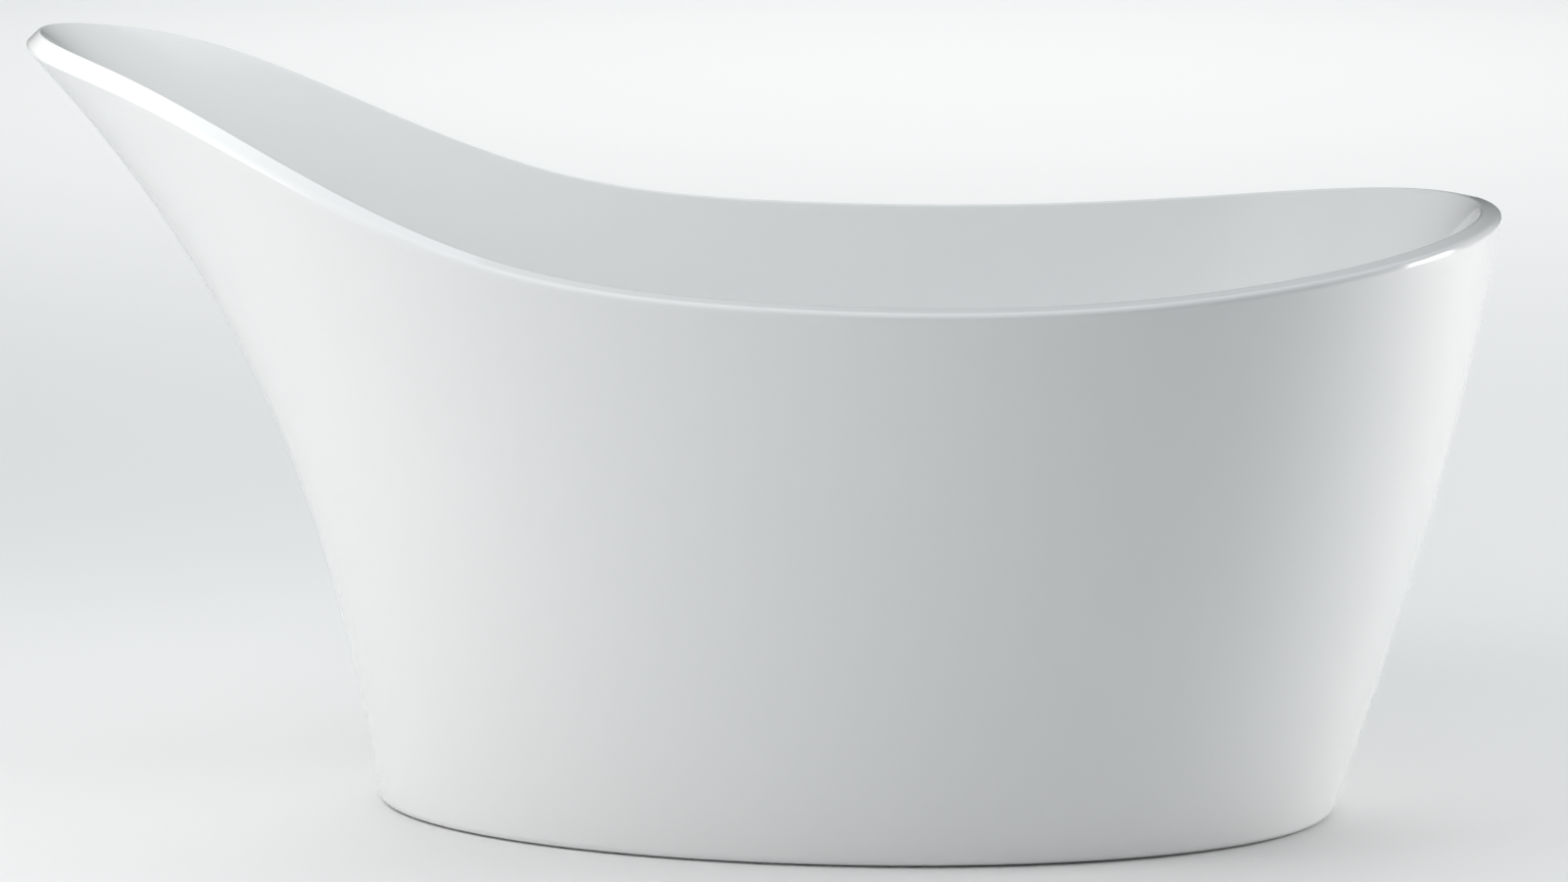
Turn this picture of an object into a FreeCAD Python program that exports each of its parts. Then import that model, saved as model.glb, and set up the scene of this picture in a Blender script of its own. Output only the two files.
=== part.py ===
import FreeCAD, Part
import math
import os

import Sketcher
from FreeCAD import Placement, Rotation, Vector

# Freestanding slipper bath: a cast bowl with a rolled rim inside a flared skirt, on a base
# board with two steel rails and four levelling feet, with its waste, trap and overflow.
# Millimetres. +X is the foot end, -X the raised backrest end, Z = 0 the floor under the feet.

SIZES = (
    # rim, seen from above and from the side
    ("overall_length", 1638, "over the rounded rim"),
    ("overall_width", 800, "over the rounded rim"),
    ("rim_tip_height", 861.5, "outer edge of the rim at the raised end"),
    ("rim_shoulder_height", 836.3, "at 85% of the half length from the middle"),
    ("rim_neck_height", 751.9, "at 60% of the half length"),
    ("rim_elbow_height", 671.7, "at 35% of the half length"),
    ("rim_waist_height", 632.6, "in the middle"),
    ("rim_hip_height", 637.1, "half way to the foot end"),
    ("rim_foot_height", 687.5, "at the foot end"),
    ("rim_tip_rise", -135, "slope of the rim at the raised end, per half length"),
    ("rim_foot_rise", 123, "slope of the rim at the foot end, per half length"),
    ("plan_skew", 0.2, "how much fuller the foot half is than the tip half"),
    ("plan_fullness", 0.239, "how square the ends are"),
    ("plan_shoulder", 0.06, "how pointed the raised end is"),
    ("rim_width", 24.4, "flat band on top of the rim"),
    ("rim_outer_radius", 7, "edge between band and outer wall"),
    ("rim_inner_radius", 3, "edge between band and bowl"),
    ("rim_thickness", 10, "solid depth under the band"),
    # outer wall
    ("base_tip_end", -436.8, "X of the base line at the raised end"),
    ("base_foot_end", 647.5, "X of the base line at the foot end"),
    ("base_half_width", 277.3, "half width of the base line"),
    ("base_skew", 0.017, "fuller foot half of the base line"),
    ("base_fullness", 0.009, "squarer ends of the base line"),
    ("flare_low_tip", 0.105, "share of the flare reached a third of the way up"),
    ("flare_low_side", 0.352, "the same at the sides"),
    ("flare_low_foot", 0.453, "the same at the foot end"),
    ("flare_high_tip", 0.297, "share of the flare reached two thirds of the way up"),
    ("flare_high_side", 0.684, "the same at the sides"),
    ("flare_high_foot", 0.791, "the same at the foot end"),
    ("skirt_wall", 8, "skirt thickness"),
    ("skirt_gap", 1, "skirt edge above the floor"),
    ("skirt_base_radius", 10, "rounded bottom edge"),
    ("skirt_flange", 30, "inward flange at the bottom"),
    ("seam_drop", 22, "joint between rim and skirt, down the wall"),
    ("bond_drop", 44, "lower end of the bond bead, down the wall"),
    # bowl
    ("bowl_wall", 8, "bowl thickness"),
    ("bowl_floor_height", 150, "bathing floor above the ground"),
    ("bowl_growth_tip", 50, "cavity behind the bowl at the raised end, per full height"),
    ("bowl_growth_side", 60, "the same at the sides"),
    ("bowl_growth_foot", 170, "the same at the foot end, room for the overflow"),
    ("bowl_bend", 0.5, "share of the height where the wall starts to turn to the floor"),
    ("bend_wall_reach", 0.4, "how far the bend follows the wall, per its own size"),
    ("bend_floor_reach", 0.35, "how far the bend follows the floor"),
    ("floor_tip_end", -330, "X of the flat floor at the raised end"),
    ("floor_foot_end", 540, "X of the flat floor at the foot end"),
    ("floor_half_width", 185, "half width of the flat floor"),
    # base board, rails and feet
    ("board_length", 540, "base board"),
    ("board_width", 220, "base board"),
    ("board_thickness", 16, "base board"),
    ("board_corner", 30, "corner radius"),
    ("board_middle", 60, "X of the middle of the board"),
    ("rail_length", 380, "cross rail"),
    ("rail_width", 40, "cross rail"),
    ("rail_depth", 25, "cross rail"),
    ("rail_sheet", 2.5, "steel thickness of the rail"),
    ("rail_tip_x", -170, "middle of the rail nearer the raised end"),
    ("rail_foot_x", 270, "middle of the rail nearer the foot end"),
    ("rail_screw_radius", 2.5, "wood screw"),
    ("rail_screw_head", 6, "head radius"),
    ("rail_screw_head_height", 3, "head"),
    ("rail_screw_bite", 12, "depth in the board"),
    ("rail_screw_pitch", 80, "between screws along the rail"),
    ("foot_offset", 160, "foot from the centre line"),
    ("foot_thread_radius", 6, "M12 screw"),
    ("foot_thread_play", 0.05, "running clearance round the screw"),
    ("foot_hole_radius", 6.6, "hole in the rail web"),
    ("foot_top_gap", 4, "screw end below the bowl"),
    ("foot_nut_across", 19, "across flats of the nuts"),
    ("weld_nut_height", 10, "nut welded under the web"),
    ("lock_nut_height", 6, "thin lock nut"),
    ("foot_collar_across", 19, "spanner collar on the screw"),
    ("foot_collar_height", 8, "spanner collar"),
    ("pad_radius", 25, "foot pad"),
    ("pad_edge", 8, "height of its straight side"),
    ("pad_height", 20, "foot pad"),
    ("pad_neck_radius", 13, "top of the pad"),
    ("pad_socket_depth", 12, "blind hole for the screw"),
    # waste
    ("waste_x", 430, "middle of the waste"),
    ("waste_recess", 3, "seat sunk in the bowl floor"),
    ("waste_recess_radius", 38.5, "seat"),
    ("waste_hole_radius", 26, "hole through the bowl floor"),
    ("seal_thickness", 2, "flat rubber seals"),
    ("flange_seal_radius", 35, "seal above the floor"),
    ("flange_radius", 36, "visible waste flange"),
    ("flange_plate", 3, "visible waste flange"),
    ("throat_outer", 22.5, "threaded tube of the flange"),
    ("throat_wall", 2.5, "threaded tube of the flange"),
    ("throat_length", 26, "threaded tube below the plate"),
    ("bridge_height", 6, "cross bridge in the throat"),
    ("bridge_bar", 4, "width of a bridge arm"),
    ("bridge_boss", 9, "radius of the boss in the bridge"),
    ("bar_bite", 0.5, "how far bridge bars run into the wall round them"),
    ("body_flange_radius", 44, "waste body under the floor"),
    ("body_flange_plate", 4, "waste body under the floor"),
    ("body_seal_inset", 2, "seal inside the edge of that flange"),
    ("body_radius", 30, "waste body"),
    ("body_chamber", 26, "inner radius of the waste body"),
    ("body_height", 60, "from its flange to its tail"),
    ("body_socket_depth", 18, "thread for the throat"),
    ("tail_radius", 23.9, "one and a half inch thread"),
    ("tail_inner", 19, "bore of the tail"),
    ("tail_length", 16, "threaded tail"),
    ("spigot_radius", 10, "hose spigots"),
    ("spigot_inner", 8, "hose spigots"),
    ("spigot_height", 30, "inlet above the tail's end"),
    ("spigot_reach", 62, "end of the inlet from the waste's axis"),
    # plug
    ("cartridge_radius", 8, "barrel that guides the plug"),
    ("cartridge_height", 16, "barrel above the bridge"),
    ("cartridge_floor", 3, "its bottom"),
    ("stud_radius", 5, "thread through the bridge"),
    ("stud_length", 10, "thread through the bridge"),
    ("stem_radius", 6, "sliding stem"),
    ("stem_play", 0.05, "running clearance of the stem"),
    ("stem_bore", 4.4, "room for the spring"),
    ("stem_roof", 5, "solid top of the stem"),
    ("plug_radius", 32, "plug cap"),
    ("plug_height", 6, "plug cap"),
    ("plug_chamfer", 2, "lower edge of the cap"),
    ("plug_slope", 3, "width of the sloping edge on top"),
    ("plug_crown", 1, "rise from that edge to the middle"),
    ("plug_rest_gap", 0.1, "closed plug above the flange"),
    ("plug_seal_inner", 22, "ring under the cap"),
    ("plug_seal_outer", 28, "ring under the cap"),
    ("plug_travel", 9, "lift of the plug"),
    ("spring_wire", 0.9, "spring wire diameter"),
    ("spring_radius", 3.4, "mean coil radius"),
    ("spring_turns", 6, "coils"),
    # trap
    ("union_radius", 32, "union nut, over its corners"),
    ("union_height", 24, "union nut"),
    ("union_lip", 3, "lip that hooks under the trap's collar"),
    ("inlet_outer", 21, "trap inlet tube"),
    ("inlet_inner", 18, "trap inlet tube"),
    ("inlet_collar", 23.5, "collar on the inlet tube"),
    ("inlet_collar_height", 5, "collar on the inlet tube"),
    ("inlet_play", 0.3, "between lip and tube"),
    ("trap_radius", 36, "trap housing"),
    ("trap_wall", 3, "trap housing"),
    ("trap_top_gap", 10, "inlet collar's top above the housing"),
    ("trap_height", 46, "trap housing"),
    ("dip_below", 8, "dip tube below the housing"),
    ("cup_depth", 18, "underside of the cup below the housing"),
    ("cup_chamfer", 4, "lower edge of the cup"),
    ("cup_wall", 3, "cup"),
    ("cup_play", 0.05, "cup thread on the housing"),
    ("cup_overlap", 4, "cup up the housing"),
    ("outlet_rise", 24, "outlet axis above the housing's open end"),
    ("outlet_inner", 16.5, "waterway of the outlet"),
    ("pipe_bore", 21.6, "socket for the house's waste pipe"),
    ("socket_outer", 25.6, "outlet socket"),
    ("socket_start", 46, "pipe stop from the trap's axis"),
    ("socket_end", 74, "end of the socket from the trap's axis"),
    ("outlet_seal_width", 4, "rubber ring in the outlet nut"),
    ("outlet_nut_radius", 30, "over its corners"),
    ("outlet_nut_wall", 4, "front wall of the nut"),
    ("outlet_nut_overlap", 14, "nut over the socket"),
    # overflow
    ("overflow_height", 540, "its axis meets the outer wall's level at this height"),
    ("overflow_hole", 17, "hole in the bowl wall"),
    ("overflow_spot", 34, "flat seat in the bowl wall"),
    ("overflow_boss", 30, "thickened wall behind"),
    ("overflow_wall", 10, "wall at the seat"),
    ("elbow_depth", 32, "overflow body behind its seal"),
    ("elbow_flange", 29, "overflow body"),
    ("elbow_flange_plate", 3, "overflow body"),
    ("elbow_outer", 21, "overflow body"),
    ("elbow_inner", 18, "overflow body"),
    ("elbow_socket", 8, "thread for the ring"),
    ("elbow_spigot_end", 55, "hose spigot from the overflow's axis"),
    ("elbow_spigot_level", 14, "hose spigot from the body's back"),
    ("ring_radius", 24, "overflow ring"),
    ("ring_plate", 2, "overflow ring"),
    ("ring_outer", 15, "threaded tube of the ring"),
    ("ring_inner", 12.5, "threaded tube of the ring"),
    ("ring_length", 19, "threaded tube of the ring"),
    ("ring_bridge", 4, "bar across the ring"),
    ("cover_radius", 33, "overflow cover"),
    ("cover_depth", 13.5, "overflow cover in front of the wall"),
    ("cover_plate", 2.5, "overflow cover"),
    ("cover_slot", 5, "water gap behind the cover's edge"),
    ("cover_post", 5, "post behind the cover"),
    ("cover_screw_radius", 2.5, "cover screw"),
    ("cover_screw_head", 4.5, "cover screw"),
    ("cover_screw_sink", 2, "depth of its head"),
    # hose
    ("hose_outer", 13, "outer radius"),
    ("hose_inner", 10, "inner radius"),
    ("hose_grip", 22, "hose over a spigot"),
    ("hose_drop", 120, "straight stretch below the overflow"),
    ("hose_corner", 100, "lower corner beyond the flat floor"),
    ("hose_corner_share", 0.45, "where its bends start, per the shorter run beside them"),
    ("clip_band", 1.5, "hose clip thickness"),
    ("clip_width", 9, "hose clip width"),
)

doc = FreeCAD.newDocument("slipper_bath")
sheet = doc.addObject("Spreadsheet::Sheet", "Sizes")
for row, (alias, number, note) in enumerate(SIZES, start=1):
    sheet.set("A%d" % row, note)
    sheet.set("B%d" % row, str(number))
    sheet.setAlias("B%d" % row, alias)
doc.recompute()


def dim(alias):
    return float(sheet.get(alias))


parts = []


def keep(item, label):
    """Names an object as a finished sub-part."""
    item.Label = label
    parts.append(item)
    return item


# ---------------------------------------------------------------- helpers for small parts

def plane(body, role):
    return next(f for f in body.Origin.OriginFeatures if f.Role == role)


def add_sketch(body, role):
    sketch = body.newObject("Sketcher::SketchObject", body.Name + "_sketch")
    sketch.AttachmentSupport = (plane(body, role), [""])
    sketch.MapMode = "FlatFace"
    return sketch


def pin_point(sketch, geometry, across, up):
    """Ties the start of a line to two distances, each an expression of the sheet."""
    for kind, axis, expression in (("DistanceX", -2, across), ("DistanceY", -1, up)):
        if expression == "0":
            sketch.addConstraint(Sketcher.Constraint("PointOnObject", geometry, 1, axis))
        else:
            index = sketch.addConstraint(Sketcher.Constraint(kind, -1, 1, geometry, 1, 1.0))
            sketch.setExpression("Constraints[%d]" % index, expression)


def turned(name, corners):
    """A body of revolution about Z from its half section, given as (radius, height) pairs."""
    body = doc.addObject("PartDesign::Body", name)
    sketch = add_sketch(body, "XZ_Plane")
    points = [Vector(body_number(r), body_number(z), 0) for r, z in corners]
    count = len(corners)
    for i in range(count):
        sketch.addGeometry(Part.LineSegment(points[i], points[(i + 1) % count]), False)
    for i in range(count):
        sketch.addConstraint(Sketcher.Constraint("Coincident", i, 2, (i + 1) % count, 1))
    for i, (radius, height) in enumerate(corners):
        pin_point(sketch, i, radius, height)
    doc.recompute()
    spin = body.newObject("PartDesign::Revolution", name + "_turn")
    spin.Profile = sketch
    spin.ReferenceAxis = (sketch, ["V_Axis"])
    spin.Angle = 360
    sketch.Visibility = False
    doc.recompute()
    return body


def body_number(expression):
    """Value of an expression of the sheet, for placing a sketch line near its final place."""
    return float(sheet.evalExpression(expression))


def place(item, x="0", y="0", z="0"):
    item.setExpression("Placement.Base.x", x)
    item.setExpression("Placement.Base.y", y)
    item.setExpression("Placement.Base.z", z)
    return item


def block(name, length, width, height, x, y, z):
    item = doc.addObject("Part::Box", name)
    item.setExpression("Length", length)
    item.setExpression("Width", width)
    item.setExpression("Height", height)
    return place(item, x, y, z)


def rod(name, radius, height, x, y, z):
    item = doc.addObject("Part::Cylinder", name)
    item.setExpression("Radius", radius)
    item.setExpression("Height", height)
    return place(item, x, y, z)


def hexagon(name, across, height, x, y, z, sides=6):
    item = doc.addObject("Part::Prism", name)
    item.Polygon = sides
    item.setExpression("Circumradius", across)
    item.setExpression("Height", height)
    return place(item, x, y, z)


def fused(name, items):
    item = doc.addObject("Part::MultiFuse", name)
    item.Shapes = items
    return item


def minus(name, base, tools):
    item = doc.addObject("Part::Cut", name)
    item.Base = base
    item.Tool = tools[0] if len(tools) == 1 else fused(name + "_tools", tools)
    return item


# ---------------------------------------------------------------- outer form of the bath
#
# Every closed line round the bath is a ring: one point for each of the same angles. The outer
# wall rises from the base ring to the rim ring as a cubic with two middle rings between them.

RING_POINTS = 32
SIDE_STEP = 1e-4
ARC = 4 / 3 * math.tan(math.pi / 8)
angles = [math.pi / 2 + 2 * math.pi * i / RING_POINTS for i in range(RING_POINTS)]

rim_line = Part.BSplineCurve()
RIM_STATIONS = (
    (-1, "rim_tip_height"), (-0.85, "rim_shoulder_height"), (-0.6, "rim_neck_height"),
    (-0.35, "rim_elbow_height"), (0, "rim_waist_height"), (0.5, "rim_hip_height"),
    (1, "rim_foot_height"),
)
rim_line.interpolate(
    Points=[Vector(along, dim(alias), 0) for along, alias in RIM_STATIONS],
    Parameters=[along for along, alias in RIM_STATIONS],
    InitialTangent=Vector(1, dim("rim_tip_rise"), 0),
    FinalTangent=Vector(1, dim("rim_foot_rise"), 0),
    Scale=False,
)


def rim_height(along):
    """Height of the rim's outer edge; along runs from -1 at the raised end to 1 at the foot."""
    return rim_line.value(along).y


def blend(along, name):
    """A value that is given for the raised end, the sides and the foot end."""
    tip = dim(name + "_tip")
    side = dim(name + "_side")
    foot = dim(name + "_foot")
    return side + (foot - tip) / 2 * along + ((foot + tip) / 2 - side) * along ** 2


def plan_half(angle):
    along = math.cos(angle)
    fuller = dim("plan_skew") * along + dim("plan_fullness") * along ** 2
    return math.sin(angle) * (1 + fuller + dim("plan_shoulder") * along ** 3)


def nose(reach, height, share):
    """How far a square rim corner stands outside the rounded one on a leaning wall."""
    lean = math.atan((1 - share) * reach * 3 / height)
    return dim("rim_outer_radius") * (math.cos(lean) + math.sin(lean) - 1)


HALF_LENGTH = dim("overall_length") / 2
HALF_WIDTH = dim("overall_width") / 2
rim_tip_x = -HALF_LENGTH - nose(
    HALF_LENGTH + dim("base_tip_end"), dim("rim_tip_height"), dim("flare_high_tip"))
rim_foot_x = HALF_LENGTH + nose(
    HALF_LENGTH - dim("base_foot_end"), dim("rim_foot_height"), dim("flare_high_foot"))
rim_half_width = HALF_WIDTH + nose(
    HALF_WIDTH - dim("base_half_width"), dim("rim_waist_height"), dim("flare_high_side"))
plan_widest = max(plan_half(math.pi * i / 720) for i in range(721))


def rim_point(angle):
    along = math.cos(angle)
    x = (rim_tip_x + rim_foot_x) / 2 + (rim_foot_x - rim_tip_x) / 2 * along
    return Vector(x, rim_half_width * plan_half(angle) / plan_widest, rim_height(along))


def base_point(angle):
    along = math.cos(angle)
    ends = (dim("base_tip_end"), dim("base_foot_end"))
    x = (ends[0] + ends[1]) / 2 + (ends[1] - ends[0]) / 2 * along
    fuller = dim("base_skew") * along + dim("base_fullness") * along ** 2
    return Vector(x, dim("base_half_width") * math.sin(angle) * (1 + fuller), 0)


def wall_frame(angle):
    """The four points that steer the outer wall at one angle."""
    along = math.cos(angle)
    base = base_point(angle)
    rim = rim_point(angle)
    flare = Vector(rim.x - base.x, rim.y - base.y, 0)
    third = Vector(0, 0, rim.z / 3)
    low = base + flare * blend(along, "flare_low") + third
    high = base + flare * blend(along, "flare_high") + third * 2
    return base, low, high, rim


def wall_point(angle, share):
    base, low, high, rim = wall_frame(angle)
    rest = 1 - share
    lower = base * rest ** 3 + low * (3 * share * rest ** 2)
    return lower + high * (3 * share ** 2 * rest) + rim * share ** 3


def wall_rise(angle, share):
    """Change of the wall's point with its share of the height."""
    base, low, high, rim = wall_frame(angle)
    rest = 1 - share
    lower = (low - base) * rest ** 2 + (high - low) * (2 * share * rest)
    return (lower + (rim - high) * share ** 2) * 3


def wall_out(angle, share):
    """Unit vector that points straight out of the wall."""
    ahead = wall_point(angle + SIDE_STEP, share)
    behind = wall_point(angle - SIDE_STEP, share)
    return (ahead - behind).cross(wall_rise(angle, share)).normalize()


def inside(angle, share, depth):
    return wall_point(angle, share) - wall_out(angle, share) * depth


def below_rim(distance):
    """Share of the height at a distance down the wall from the rim."""
    return lambda angle: 1 - distance / wall_rise(angle, 1).Length


def at_height(height):
    return lambda angle: height / rim_height(math.cos(angle))


# ---------------------------------------------------------------- strips between rings

def ring(point_at):
    return [point_at(angle) for angle in angles]


def smooth_poles(points):
    """Poles of the closed cubic that passes through the points of a ring."""
    poles = list(points)
    for _ in range(60):
        sums = [poles[i - 1] + poles[i] * 4 + poles[(i + 1) % RING_POINTS]
                for i in range(RING_POINTS)]
        poles = [poles[i] + points[i] - sums[i] * (1 / 6) for i in range(RING_POINTS)]
    return poles


def strip(rings):
    """Face steered by rings: two make it straight across, four make it a cubic."""
    columns = [smooth_poles(points) for points in rings]
    grid = [[column[i] for column in columns] for i in range(RING_POINTS)]
    degree = len(rings) - 1
    surface = Part.BSplineSurface()
    surface.buildFromPolesMultsKnots(
        grid, [1] * (RING_POINTS + 1), [degree + 1] * 2,
        list(range(RING_POINTS + 1)), [0, 1], True, False, 3, degree)
    return surface.toShape()


def disc(points):
    """Flat face inside a level ring."""
    edge = Part.BSplineCurve()
    edge.buildFromPolesMultsKnots(
        smooth_poles(points), [1] * (RING_POINTS + 1), list(range(RING_POINTS + 1)), True, 3)
    return Part.Face(Part.Wire([edge.toShape()]))


def skin(start, end, depth):
    """Steering rings of the surface at a depth inside the wall, from one share to another."""
    def through(angle):
        low = start(angle)
        high = end(angle)
        shares = [low + (high - low) * k / 3 for k in range(4)]
        a, b, c, d = (inside(angle, share, depth(angle, share)) for share in shares)
        first = (a * -5 + b * 18 - c * 9 + d * 2) * (1 / 6)
        second = (a * 2 - b * 9 + c * 18 - d * 5) * (1 / 6)
        return a, first, second, d
    return [list(points) for points in zip(*ring(through))]


def bent(start, start_way, end, end_way, start_reach, end_reach):
    """Steering rings of a bend that leaves and arrives along given directions."""
    near = [p + w * r for p, w, r in zip(start, start_way, start_reach)]
    far = [p + w * r for p, w, r in zip(end, end_way, end_reach)]
    return [start, near, far, end]


def rounded(start, start_way, end, end_way, radius):
    reach = [ARC * radius] * RING_POINTS
    return bent(start, start_way, end, end_way, reach, reach)


def ways(tails, heads):
    return [(head - tail).normalize() for tail, head in zip(tails, heads)]


def flipped(vectors):
    return [v * -1 for v in vectors]


def closed(faces):
    shell = Part.Shell(faces)
    shell.sewShape()
    solid = Part.Solid(shell)
    if solid.Volume < 0:
        solid.reverse()
    return solid


def shown(name, shape):
    item = doc.addObject("Part::Feature", name)
    item.Shape = shape
    return keep(item, name)


def skirt_depth(angle, share):
    return dim("skirt_wall")


def bowl_depth(angle, share):
    """Depth of the bathing surface inside the outer wall."""
    return dim("rim_width") + (1 - share) * blend(math.cos(angle), "bowl_growth")


def back_depth(angle, share):
    return bowl_depth(angle, share) - dim("bowl_wall")


SEAM = below_rim(dim("seam_drop"))
BOND_END = below_rim(dim("bond_drop"))
UNDER_RIM = below_rim(dim("rim_thickness"))
NO_DEPTH = (lambda angle, share: 0)


def bowl_bend(angle):
    return dim("bowl_bend")


# ---------------------------------------------------------------- outer skirt
# One hollow flared wall. Its top edge butts against the rim's lip, its bottom turns inward.

def outward(angle):
    """Level unit vector straight out from the base line."""
    side = base_point(angle + SIDE_STEP) - base_point(angle - SIDE_STEP)
    return side.cross(Vector(0, 0, 1)).normalize()


def skirt_foot_point(angle, inset):
    return base_point(angle) - outward(angle) * inset + Vector(0, 0, dim("skirt_gap"))


SKIRT_TURN = at_height(dim("skirt_gap") + dim("skirt_base_radius"))
SKIRT_SILL = at_height(dim("skirt_gap") + dim("skirt_wall"))
outer_wall = skin(SKIRT_TURN, SEAM, NO_DEPTH)
base_radius = dim("skirt_base_radius")
sole_outer = ring(lambda angle: skirt_foot_point(angle, base_radius))
sole_inner = ring(lambda angle: skirt_foot_point(angle, dim("skirt_flange")))
flange_top = [p + Vector(0, 0, dim("skirt_wall")) for p in sole_inner]
inner_low = skin(SKIRT_SILL, BOND_END, skirt_depth)
inner_high = skin(BOND_END, SEAM, skirt_depth)
shown("outer_skirt", closed([
    strip(outer_wall),
    strip(rounded(outer_wall[0], flipped(ways(outer_wall[0], outer_wall[1])),
                  sole_outer, ring(outward), base_radius)),
    strip([sole_outer, sole_inner]),
    strip([sole_inner, flange_top]),
    strip([flange_top, inner_low[0]]),
    strip(inner_low),
    strip(inner_high),
    strip([inner_high[3], outer_wall[3]]),
]))

# ---------------------------------------------------------------- inner bowl
# Bathing surface, flat rim band and the short lip that meets the skirt, cast in one piece.

outer_radius = dim("rim_outer_radius")
inner_radius = dim("rim_inner_radius")
wall_inside = skin(bowl_bend, below_rim(inner_radius), bowl_depth)
lip_outside = skin(SEAM, below_rim(outer_radius), NO_DEPTH)
lip_inside = skin(SEAM, UNDER_RIM, skirt_depth)
back_high = skin(BOND_END, UNDER_RIM, back_depth)
back_low = skin(bowl_bend, BOND_END, back_depth)
rim_out = ring(lambda angle: wall_out(angle, 1))
band_outer = ring(lambda angle: inside(angle, 1, outer_radius))
band_inner = ring(lambda angle: inside(angle, 1, dim("rim_width") - inner_radius))


def floor_point(angle, height):
    ends = (dim("floor_tip_end"), dim("floor_foot_end"))
    x = (ends[0] + ends[1]) / 2 + (ends[1] - ends[0]) / 2 * math.cos(angle)
    return Vector(x, dim("floor_half_width") * math.sin(angle), height)


def floor_bend(wall_end, wall_next, floor_edge, extra):
    """Bend from the bowl's wall to its floor; extra widens it for the outside of the wall."""
    gaps = [(a - b).Length for a, b in zip(wall_end, floor_edge)]
    wall_reach = [dim("bend_wall_reach") * gap + extra for gap in gaps]
    floor_reach = [dim("bend_floor_reach") * gap + extra for gap in gaps]
    down = flipped(ways(wall_end, wall_next))
    return bent(wall_end, down, floor_edge, ring(outward), wall_reach, floor_reach)


floor_top = dim("bowl_floor_height")
floor_under = floor_top - dim("bowl_wall")
floor_edge = ring(lambda angle: floor_point(angle, floor_top))
under_edge = ring(lambda angle: floor_point(angle, floor_under))
bowl_shape = closed([
    disc(floor_edge),
    strip(floor_bend(wall_inside[0], wall_inside[1], floor_edge, 0)),
    strip(wall_inside),
    strip(rounded(wall_inside[3], ways(wall_inside[2], wall_inside[3]),
                  band_inner, flipped(rim_out), inner_radius)),
    strip([band_inner, band_outer]),
    strip(rounded(band_outer, rim_out, lip_outside[3],
                  ways(lip_outside[2], lip_outside[3]), outer_radius)),
    strip(lip_outside),
    strip([lip_outside[0], lip_inside[0]]),
    strip(lip_inside),
    strip([lip_inside[3], back_high[3]]),
    strip(back_high),
    strip(back_low),
    strip(floor_bend(back_low[0], back_low[1], under_edge,
                     dim("bend_wall_reach") * dim("bowl_wall"))),
    disc(under_edge),
])

waste = Vector(dim("waste_x"), 0, floor_top)
waste_seat = Part.makeCylinder(
    dim("waste_recess_radius"), floor_top, waste - Vector(0, 0, dim("waste_recess")))
waste_hole = Part.makeCylinder(dim("waste_hole_radius"), floor_top, waste - Vector(0, 0, floor_top))

# The overflow sits square to the bowl's wall on the centre line of the foot end: its own Z
# points into the bath and its own X up the wall, from the middle of a flat seat.
overflow_share = dim("overflow_height") / dim("rim_foot_height")
overflow_origin = inside(0, overflow_share, bowl_depth(0, overflow_share))
beside = inside(0, overflow_share + 0.01, bowl_depth(0, overflow_share + 0.01))
overflow_lean = math.degrees(math.atan2(beside.x - overflow_origin.x, beside.z - overflow_origin.z))
overflow_turn = Rotation(Vector(0, 1, 0), overflow_lean - 90)
overflow_place = Placement(overflow_origin, overflow_turn)


def at_overflow(across, up, level):
    return overflow_place.multVec(Vector(up, across, level))


def overflow_rod(radius, low, high):
    axis = overflow_turn.multVec(Vector(0, 0, 1))
    return Part.makeCylinder(radius, high - low, at_overflow(0, 0, low), axis)


seat_depth = dim("overflow_spot")
bowl_shape = bowl_shape.fuse(
    overflow_rod(dim("overflow_boss"), -dim("overflow_wall"), -dim("bowl_wall") / 2))
bowl_shape = bowl_shape.cut(overflow_rod(dim("overflow_spot"), 0, seat_depth))
bowl_shape = bowl_shape.cut(overflow_rod(dim("overflow_hole"), -seat_depth, seat_depth))
bowl_shape = bowl_shape.cut(waste_seat).cut(waste_hole)
shown("inner_bowl", bowl_shape.Solids[0])

# ---------------------------------------------------------------- bond bead
# Adhesive that fills the slot under the rim and ties skirt and bowl together.

shown("rim_bond", closed([
    strip(inner_high),
    strip(lip_inside),
    strip([lip_inside[3], back_high[3]]),
    strip(back_high),
    strip([back_high[0], inner_high[0]]),
]))

# ---------------------------------------------------------------- base board
# Plywood laminated under the bowl floor; the rails screw into it.

FLOOR_UNDER = "(Sizes.bowl_floor_height - Sizes.bowl_wall)"
BOARD_UNDER = "(%s - Sizes.board_thickness)" % FLOOR_UNDER


RAILS = (("rail_tip", "Sizes.rail_tip_x"), ("rail_foot", "Sizes.rail_foot_x"))


def rail_screws_on(middle):
    """Places of the three screws of the rail at an X, as expressions."""
    return [(middle, "%d * Sizes.rail_screw_pitch" % row) for row in (-1, 0, 1)]


board_blank = block(
    "board_blank", "Sizes.board_length", "Sizes.board_width", "Sizes.board_thickness",
    "Sizes.board_middle - Sizes.board_length / 2", "-Sizes.board_width / 2", BOARD_UNDER)
doc.recompute()
board_round = doc.addObject("Part::Fillet", "board_round")
board_round.Base = board_blank
upright = [n for n, edge in enumerate(board_blank.Shape.Edges, start=1)
           if abs(edge.tangentAt(edge.FirstParameter).z) > 0.5]
corner = dim("board_corner")
board_round.Edges = [(n, corner, corner) for n in upright]
board_pilots = [
    rod("board_pilot", "Sizes.rail_screw_radius", "Sizes.rail_screw_bite", x, y, BOARD_UNDER)
    for name, middle in RAILS for x, y in rail_screws_on(middle)]
keep(minus("board", board_round, board_pilots), "base_board")

# ---------------------------------------------------------------- cross rails
# Folded steel channels, open below. The web carries the screws and the weld nuts.

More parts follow.
